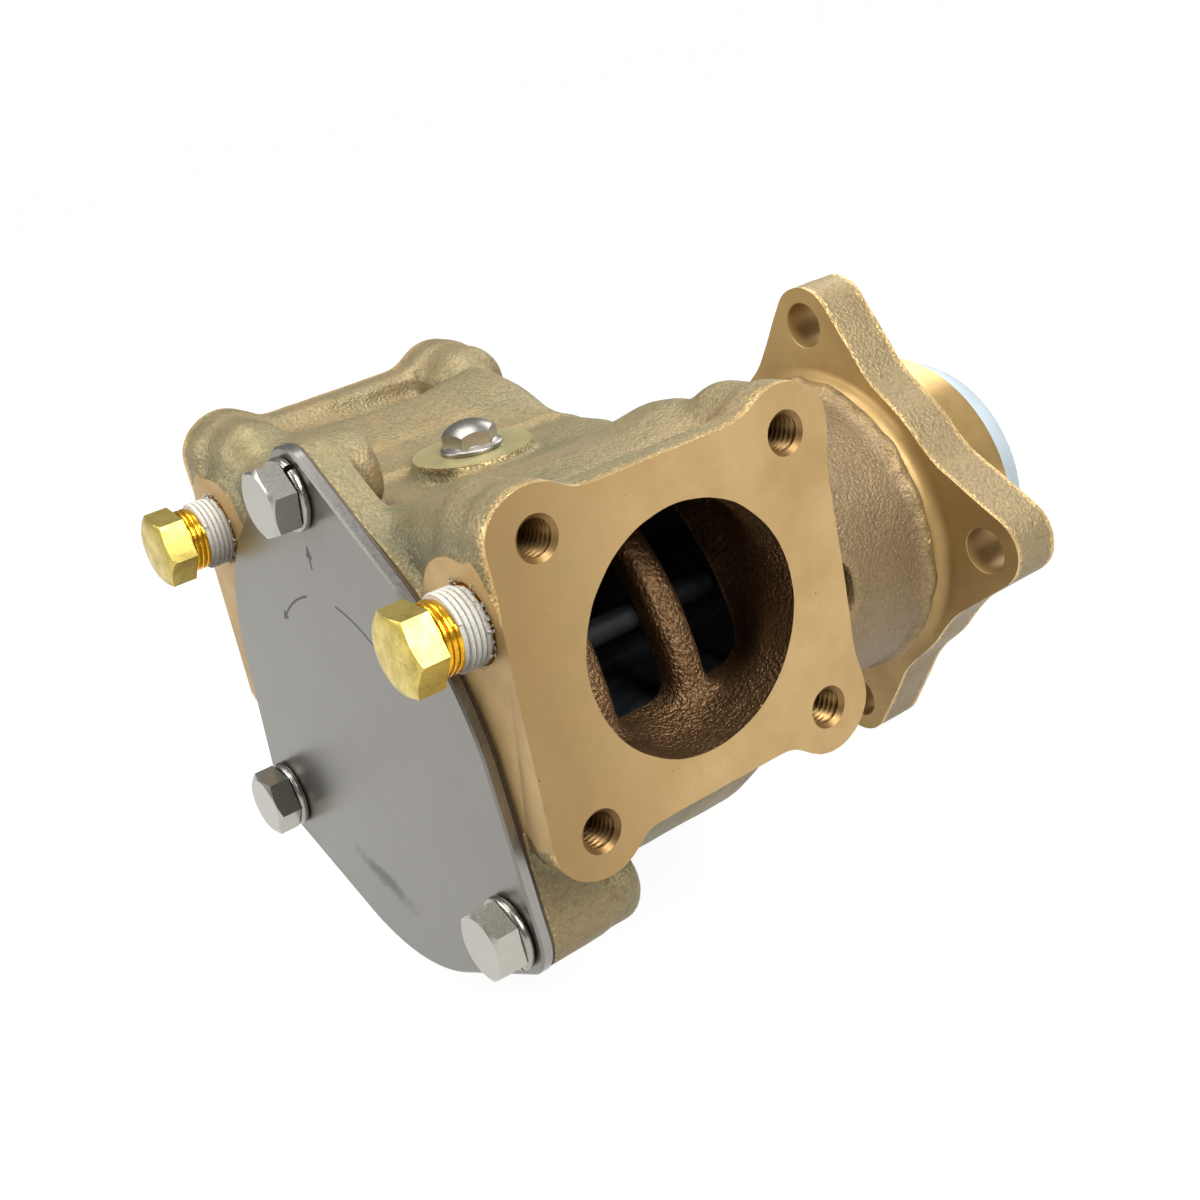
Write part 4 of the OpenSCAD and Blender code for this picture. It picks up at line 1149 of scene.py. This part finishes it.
amber_brass = yellow_brass_finish("amber_thread_brass", rgb(236, 184, 48), rgb(206, 150, 30), (0.18, 0.28))
white_tape = finish_of("white_thread_tape", wire_white_tape)
black_rubber = finish_of("moulded_black_rubber", wire_rubber, Specular_IOR_Level=0.3)
gasket_paper = finish_of("gasket_paper", wire_gasket)
cap_plastic = finish_of("soft_cap_plastic", wire_cap)
ceramic = plain_part("lapped_ceramic", rgb(236, 232, 220), rgb(226, 220, 206), 6, (0.18, 0.3))
carbon = plain_part("lapped_carbon", rgb(52, 52, 56), rgb(38, 38, 42), 3, (0.3, 0.4))
cage_brass = plain_part("pressed_cage_brass", rgb(214, 184, 108), rgb(190, 160, 88), 4, (0.28, 0.4),
                        Metallic=1.0)


# The pump
def skin_attributes(piece, field, core):
    """Masks for the cast skin: rims next to machined faces, painted shade in recesses, edges lighter from
    wear and painted highlight, a greyed band on the upper sides, a painted glint and the cored waterways.
    """
    count = len(piece.data.vertices)
    flat = np.empty(count * 3, np.float32)
    piece.data.vertices.foreach_get("co", flat)
    points = flat.reshape(-1, 3) / MM
    piece.data.vertices.foreach_get("normal", flat)
    normals = flat.reshape(-1, 3)
    x = np.abs(points[:, 0])
    y = points[:, 1]
    z = points[:, 2]
    turn_r = np.hypot(points[:, 0], z)
    # Distance from the nearest machined edge, longer where the torn rim is narrow or missing
    far = 9
    boss_r = np.hypot(points[:, 0], y - CAM_Y)
    boss = np.where(boss_r < CAM_BOSS_R + 3, np.abs(CAM_BOSS_Z - z) + 0.7, far)
    flange_front = np.where(turn_r > 38, np.abs(y + DRIVE_T), far)
    port_mouth = np.where(np.hypot(y - PORT_Y, z - PORT_Z) < PORT_R + 1, far, 0)
    port_face = np.abs(PORT_X - x) * 0.6 + port_mouth
    near = np.minimum.reduce([port_face, np.abs(y - FRONT_Y) + 1.3, boss, flange_front, np.abs(y)])
    # Where the painted glint on the crest lies, and how far it spreads
    glint_middle = (-6.5, -129.0, 61.8)
    glint_reach = (4.2, 3.0, 2.2)
    return {
        "rim": np.clip(1 - near / 2.4, 0, 1),
        "waterway": np.clip(1.6 - sampled(core, points) / 1.5, 0, 1) * (turn_r > CHAMBER_R - 3),
        # Painted shade where other surfaces stand close in front of the skin
        "hollow_shade": np.clip((2.6 - sampled(field, points + 3.0 * normals)) / 1.8, 0, 1),
        # Convex edges, lighter from wear and a painted highlight
        "wear_and_highlight": np.clip((sampled(field, points - 2.4 * normals) + 1.9) / 1.2, 0, 1),
        # A band on the upper sides near the front, greyed in the finish
        "greyed_upper_front": (ramp(y, -125, -132) * ramp(z, 32, 37) * ramp(z, 53, 47) * ramp(x, 13, 21)
                   * ramp(x, 60, 48)),
        "crest_glint": np.clip(1 - np.linalg.norm((points - glint_middle) / glint_reach, axis=1), 0, 1),
    }


def store(piece, name, values):
    """Keeps a value for each point of a piece, for its finish to read."""
    layer = piece.data.attributes.new(name, "FLOAT", "POINT")
    layer.data.foreach_set("value", np.asarray(values, np.float32))


skin_field, core_field = casting_field()
casting = pump_casting(skin_field, cast_bronze, milled_bronze, turned_bronze, faced_bronze, threaded_bronze,
                       spotfaced_bronze)
for mask, values in skin_attributes(casting, skin_field, core_field).items():
    store(casting, mask, values)
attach(casting, "housing")
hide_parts("pump_body")


def cover_outline(grow):
    """Corners (x, z) round the rim and its three lugs, anticlockwise from the front's right."""
    rim_step = 4
    lug_steps = 24
    reach = math.degrees(math.acos((RIM_R - LUG_R) / COVER_BOLT_R))
    corners = []
    for angle, (x, z) in zip(COVER_ANGLES, ring_spots(COVER_BOLT_R, COVER_ANGLES)):
        for a in np.radians(np.arange(angle - reach, angle + reach + 0.01, 2 * reach / lug_steps)):
            corners.append((x + (LUG_R + grow) * math.cos(a), z + (LUG_R + grow) * math.sin(a)))
        for a in np.radians(np.arange(angle + reach + rim_step, angle + 120 - reach - 1, rim_step)):
            corners.append(((RIM_R + grow) * math.cos(a), (RIM_R + grow) * math.sin(a)))
    return np.array(corners)


def plate_part(levels):
    """A plate from outlines stacked along Y: levels are (grow, y)."""
    points = []
    faces = []
    for grow, y in levels:
        points += [(x, y, z) for x, z in cover_outline(grow)]
    count = len(points) // len(levels)
    for level in range(len(levels) - 1):
        low = level * count
        high = low + count
        faces += [(low + k, low + (k + 1) % count, high + (k + 1) % count, high + k) for k in range(count)]
    faces += [tuple(range(count)), tuple(range(len(points) - 1, len(points) - count - 1, -1))]
    return np.array(points), faces


def ribbon(path, width):
    """A thin flat strip etched into the plate along a path of (x, z), its width given at each point."""
    path = np.array(path, float)
    width = np.array(width, float)
    along = np.gradient(path, axis=0)
    side = np.stack([-along[:, 1], along[:, 0]], 1) / np.linalg.norm(along, axis=1)[:, None]
    left = path + side * width[:, None] / 2
    right = path - side * width[:, None] / 2
    points = [(x, y, z) for y in (PLATE_Y - 0.02, PLATE_Y + 0.1) for x, z in np.concatenate([left, right])]
    n = len(path)
    faces = []
    for k in range(n - 1):
        faces.append((k, k + 1, n + k + 1, n + k))
        faces.append((2 * n + k, 3 * n + k, 3 * n + k + 1, 2 * n + k + 1))
        faces.append((k, 2 * n + k, 2 * n + k + 1, k + 1))
        faces.append((n + k, n + k + 1, 3 * n + k + 1, 3 * n + k))
    for k in (0, n - 1):
        faces.append((k, n + k, 3 * n + k, 2 * n + k))
    return np.array(points), faces


# Cover plate: its outline is the rim's, with the edges broken and three screw holes
cover_spots = ring_spots(COVER_BOLT_R, COVER_ANGLES)
plate_levels = [(-0.25, PLATE_BACK_Y), (0, PLATE_BACK_Y - 0.3), (0, PLATE_Y + 0.45), (-0.45, PLATE_Y)]
cover_sheet = mesh_piece("cover_sheet", *plate_part(plate_levels), [cover_steel], False)
face_out(cover_sheet)
hole_outline = [(0, -5), (4.5, -5), (4.5, 5), (0, 5)]
screw_holes = [turned(hole_outline, (x, PLATE_Y, z), OUT_OF_FRONT, 32) for x, z in cover_spots]
machined(cover_sheet, screw_holes, cover_steel)
crisp(cover_sheet, 20)
cover_sheet.data.materials.append(plate_edge_steel)
for face in cover_sheet.data.polygons:
    if abs(face.normal.y) < 0.2:
        face.material_index = len(cover_sheet.data.materials) - 1
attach(cover_sheet, "housing")
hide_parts("cover_plate")

# Three plain turning arrows, etched thinly into the plate
ARC_R = 30.9
ARROW_W = 0.5
marks = [ribbon([(-0.75, 37.0), (-0.6, 39.4), (-0.55, 39.5), (-0.3, 42.2)], [0.55, 0.55, 2.5, 0.05])]
for arc in (ring_spots(ARC_R, range(103, 132, 3)), ring_spots(ARC_R, range(80, 42, -3))):
    last_step = np.array(arc[-1]) - np.array(arc[-2])
    head = [np.array(arc[-1]) + last_step * t for t in (0.02, 1.5)]
    marks.append(ribbon(arc + head, [ARROW_W] * len(arc) + [2.3, 0.05]))
cover_arrows = mesh_piece("cover_arrows", *joined(marks), [etched_steel], False)
face_out(cover_arrows)
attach(cover_arrows, "housing")

# Hexagon screws and split washers, set at the three lugs
WASHER_T = 2.0
HEAD_TURNS = (15, 52, 34)
WASHER_TURNS = (50, 160, -64)
shank = turned([(0, -16), (3.5, -16), (4.0, -15.4), (4.0, 0.3), (0, 0.3)], segments=32)
screw = mesh_piece("screw", *joined([hexagon(13.0, 5.3), shank]), [])
screw_spots = [(x, z, WASHER_T - PLATE_Y, turn) for (x, z), turn in zip(cover_spots, HEAD_TURNS)]
screws = set_in_front("cover_hexagon_screws", screw, screw_spots, bolt_steel)
crisp(screws, 28)
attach(screws, "housing")
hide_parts("cover_screws")
washer = wound("washer", washer_steel, turns=0.975, radii=(5.85, 5.85), climb=0.2, depth=3.3, width=1.8,
               corner=0.7, rise=0.9)
washer_spots = [(x, z, -PLATE_Y, turn) for (x, z), turn in zip(cover_spots, WASHER_TURNS)]
washers = set_in_front("split_washers", washer, washer_spots, washer_steel)
crisp(washers, 40)
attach(washers, "housing")
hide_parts("spring_washers")

# Cam screw: domed hexagon on its washer flange
flange_rim = [(6.1 + 0.42 * math.cos(a), 0.5 + 0.5 * math.sin(a)) for a in np.linspace(-1, 1.3, 8)]
flange_outline = [(0, 0), (6.45, 0)] + flange_rim + [(5.8, 1.2), (5.4, 1.35), (5.1, 1.6), (0, 1.6)]
cam_flange = turned(flange_outline, segments=96)
cam_head = placed(hexagon(10.0, 5.0, dome_r=8.2), (0, 0, 1.0), (0, 0, 1), 12.2)
cam_shank = turned([(0, -12), (2.6, -12), (3, -11.5), (3, 0.3), (0, 0.3)], segments=32)
cam_parts = placed(joined([cam_flange, cam_head, cam_shank]), (0, CAM_Y, CAM_BOSS_Z), (0, 0, 1))
cam_bolt = mesh_piece("domed_cam_screw", *cam_parts, [polished_steel])
crisp(cam_bolt, 30)
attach(cam_bolt, "housing")
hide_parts("cam_screw")

# Pipe plugs with their standing threads, and the tape wound on them
PLUG_STEM = 9.0
PLUG_CORE = (
    (0, -9), (6.5, -9), (PLUG_R, -8.4), (PLUG_R, 0.1), (6.5, 0.4), (6.4, PLUG_STEM + 0.1),
    (0, PLUG_STEM + 0.1),
)
TAPE_SLEEVE = ((0, 0), (PLUG_R + 0.01, 0), (PLUG_R + 0.03, 5.3), (6.8, 5.55), (0, 5.55))
SHRED_COUNT = 130


def at_plug(part, side, out=0.0, turn=0.0):
    """A part built standing on Z = 0, stood on the front face at a plug's place."""
    return placed(part, (side * PLUG_X, FRONT_Y - out, PLUG_Z), OUT_OF_FRONT, turn)


def pipe_plug(name, side, head_turn):
    """Brass plug: hexagon head, stem and the thread's last turns."""
    ridge = wound("ridge", amber_brass, turns=2.7, radii=(6.5, 6.5), climb=3.1, depth=0.7, width=1.02,
                  corner=0.3, rise=5.75)
    ridges = set_in_front("ridges", ridge, [(side * PLUG_X, PLUG_Z, -FRONT_Y, 30)], amber_brass)
    core = mesh_piece("core", *at_plug(turned(PLUG_CORE), side), [amber_brass])
    hexagonal = hexagon(14.3, 6.5, turned_off=0.93, slope=0.5, crown=0.35)
    head = mesh_piece("head", *at_plug(hexagonal, side, PLUG_STEM, head_turn), [yellow_brass])
    return crisp(joined_pieces(name, [head, core, ridges]), 26)


def tape_shreds(seed):
    """Torn shreds where the tape was screwed in: slivers round the foot of the windings."""
    rng = np.random.default_rng(seed)
    inner_r = 7.1
    outer_r = 8.2
    shreds = []
    for _ in range(SHRED_COUNT):
        a = rng.uniform(0, 2 * math.pi)
        r = rng.uniform(inner_r, outer_r)
        h = rng.uniform(0.05, 1.4)
        middle = np.array((r * math.cos(a), r * math.sin(a), max(h * (1.3 - (r - inner_r)), 0.08)))
        size = rng.uniform(0.15, 0.65)
        corners = middle + rng.normal(0, 1, (4, 3)) * size * 0.55
        corners[:, 2] = np.maximum(corners[:, 2], 0.02)
        shreds.append((corners, [(0, 1, 2), (0, 3, 1), (1, 3, 2), (0, 2, 3)]))
    return joined(shreds)


def wound_tape(name, side, seed):
    """White tape in turns over a sleeve, with its torn shreds."""
    band = wound("band", white_tape, turns=4.15, radii=(6.98, 7.06), climb=4.6, depth=0.84, width=0.98,
                 corner=0.4, rise=0.55)
    turns = set_in_front("turns", band, [(side * PLUG_X, PLUG_Z, -FRONT_Y, 80)], white_tape)
    sleeve = mesh_piece("sleeve", *at_plug(turned(TAPE_SLEEVE), side), [white_tape])
    fuzz = mesh_piece("fuzz", *at_plug(tape_shreds(seed), side), [white_tape], False)
    return crisp(joined_pieces(name, [turns, sleeve, fuzz]), 40)


for place, side, head_turn, seed in (("right", 1, 57, 11), ("left", -1, 50, 12)):
    plug = pipe_plug(f"pipe_plug_{place}", side, head_turn)
    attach(plug, "housing")
    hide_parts(f"plug_{place}")
    tape = wound_tape(f"wound_tape_{place}", side, seed)
    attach(tape, "housing")
    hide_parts(f"thread_tape_{place}")

# Soft cap: a thin dished moulding pushed into the pilot's end
CAP_PROFILE = (
    # Dished top and rounded rim
    (0, 26), (16, 25.95), (22, 25.6), (25.6, 24.7), (27.9, 23.0), (29.1, 20.8), (29.6, 18.2), (29.6, 16.4),
    (29.3, 16.05),
    # Skirt pushed into the pilot
    (28.2, 16.05), (28.2, 13.1), (27.9, 12.8), (26.9, 12.8), (26.6, 13.1),
    # Underside
    (26.6, 22.4), (25.4, 23.8), (22, 24.2), (0, 24.4),
)
cap_mould = mesh_piece("soft_cap", *turned(CAP_PROFILE, axis=SHAFT_AXIS, segments=128), [cap_plastic])
crisp(cap_mould, 50)
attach(cap_mould, "cap")
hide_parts("protective_cap")

# Impeller: the node's solid with every edge as round as moulded rubber
rubber = bpy.data.objects.new("moulded_impeller", nodes["impeller"].data.copy())
bpy.context.scene.collection.objects.link(rubber)
face_out(rubber)
even = rubber.modifiers.new("even", "REMESH")
even.mode = "VOXEL"
even.voxel_size = 0.95 * MM
even.use_smooth_shade = True
soft = rubber.modifiers.new("soft", "SMOOTH")
soft.factor = 0.5
soft.iterations = 5
applied(rubber)
rubber.data.materials.clear()
rubber.data.materials.append(black_rubber)
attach(rubber, "rotor")
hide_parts("impeller")

# The solids that no piece replaces, and those that one does, with the finish each carries
node_finishes = {
    cast_bronze: ["pump_body"],
    cover_steel: ["cover_plate"],
    gasket_paper: ["cover_gasket"],
    bolt_steel: ["cover_screws", "cam_screw", "shaft", "impeller_key", "bearing_spacer", "wear_plate",
                 "wear_plate_pin", "seal_spring"],
    washer_steel: ["spring_washers"],
    inner_bronze: ["cam", "impeller_bushing"],
    yellow_brass: ["plug_left", "plug_right"],
    white_tape: ["thread_tape_left", "thread_tape_right"],
    black_rubber: ["impeller", "seal_seat_cup", "seal_bellows", "slinger", "lip_seal"],
    ceramic: ["seal_seat"],
    carbon: ["seal_face"],
    ground_steel: ["front_inner_race", "front_outer_race", "front_balls", "rear_inner_race",
                   "rear_outer_race", "rear_balls"],
    cage_brass: ["front_cage", "rear_cage"],
    spring_steel: ["bearing_circlip", "shaft_circlip"],
    cap_plastic: ["protective_cap"],
}
for finish, names in node_finishes.items():
    for name in names:
        for slot in nodes[name].material_slots:
            slot.material = finish


# Floor, light and camera
FLOOR_Z = -57.2
FLOOR_REACH = 4000.0


def white_backdrop(name, shade, strength):
    """White to the camera and in reflections, yet darkened a little where the object shades it."""
    material = bpy.data.materials.new(name)
    material.use_nodes = True
    tree = Tree(material.node_tree)
    shader = material.node_tree.nodes["Principled BSDF"]
    shader.inputs["Base Color"].default_value = shade
    shader.inputs["Roughness"].default_value = 0.9
    path = tree.add("ShaderNodeLightPath")
    mirrored = tree.math("MAXIMUM", path.outputs["Is Glossy Ray"], path.outputs["Is Transmission Ray"])
    seen = tree.math("MAXIMUM", path.outputs["Is Camera Ray"], mirrored)
    glow = tree.add("ShaderNodeEmission", Color=(1, 1, 1, 1))
    tree.put(glow.inputs["Strength"], tree.times(seen, strength))
    both = tree.add("ShaderNodeAddShader")
    tree.put(both.inputs[0], shader.outputs[0])
    tree.put(both.inputs[1], glow.outputs[0])
    tree.put(material.node_tree.nodes["Material Output"].inputs["Surface"], both.outputs[0])
    return material


floor_corners = [(x * FLOOR_REACH, y * FLOOR_REACH, FLOOR_Z)
                 for x, y in ((-1, -1), (1, -1), (1, 1), (-1, 1))]
pale_floor = white_backdrop("pale_floor", (0.13, 0.13, 0.13, 1), 0.93)
floor = mesh_piece("floor", floor_corners, [(0, 1, 2, 3)], [pale_floor])

world = bpy.data.worlds.new("studio")
bpy.context.scene.world = world
world.use_nodes = True
sky = Tree(world.node_tree)
path = sky.add("ShaderNodeLightPath")
seen = sky.math("MAXIMUM", path.outputs["Is Camera Ray"], path.outputs["Is Transmission Ray"])
height = sky.split(sky.add("ShaderNodeTexCoord").outputs["Generated"])["Z"]
bright = sky.span(height, -0.2, 0.9, 0.35, 1.0)
sky.put(world.node_tree.nodes["Background"].inputs["Strength"],
        sky.math("MAXIMUM", seen, sky.times(bright, 0.4)))
world.node_tree.nodes["Background"].inputs["Color"].default_value = (1, 1, 1, 1)


def softbox(name, place_mm, aim_mm, size_mm, power):
    """A rectangular lamp looking at a point."""
    lamp = bpy.data.lights.new(name, "AREA")
    lamp.shape = "RECTANGLE"
    lamp.size = size_mm[0] * MM
    lamp.size_y = size_mm[1] * MM
    lamp.energy = power
    lit = bpy.data.objects.new(name, lamp)
    bpy.context.scene.collection.objects.link(lit)
    lit.location = Vector(place_mm) * MM
    lit.rotation_euler = (Vector(aim_mm) - Vector(place_mm)).to_track_quat("-Z", "Y").to_euler()


softbox("key_softbox", (-60, -160, 640), (0, -80, 0), (520, 420), 2.9)
softbox("side_softbox", (430, -20, 400), (20, -60, 0), (300, 320), 3.5)
softbox("front_softbox", (-220, -560, 260), (0, -80, 0), (320, 260), 1.6)
softbox("back_softbox", (-200, 420, 360), (0, 0, 10), (300, 260), 1.2)

# Camera at the photograph's place, with its directions and its focal length in pixels
EYE_MM = Vector((282.2465, -261.2013, 135.1421))
RIGHT = Vector((0.587686, 0.786305, -0.190655))
DOWN = Vector((0.187486, -0.361574, -0.913298))
FORWARD = Vector((-0.787067, 0.500987, -0.359913))
FOCAL_PIXELS = 1645.098
PHOTO_PIXELS = 1200.0
SENSOR_MM = 36.0
eye = bpy.data.cameras.new("photo_camera")
eye.sensor_width = SENSOR_MM
eye.lens = FOCAL_PIXELS / PHOTO_PIXELS * SENSOR_MM
eye.clip_start = 0.01
eye.clip_end = 20
camera = bpy.data.objects.new("photo_camera", eye)
bpy.context.scene.collection.objects.link(camera)
turn = Matrix((RIGHT, -DOWN, -FORWARD)).transposed().to_4x4()
camera.matrix_world = Matrix.Translation(EYE_MM * MM) @ turn
bpy.context.scene.camera = camera
bpy.context.scene.view_settings.view_transform = "Standard"
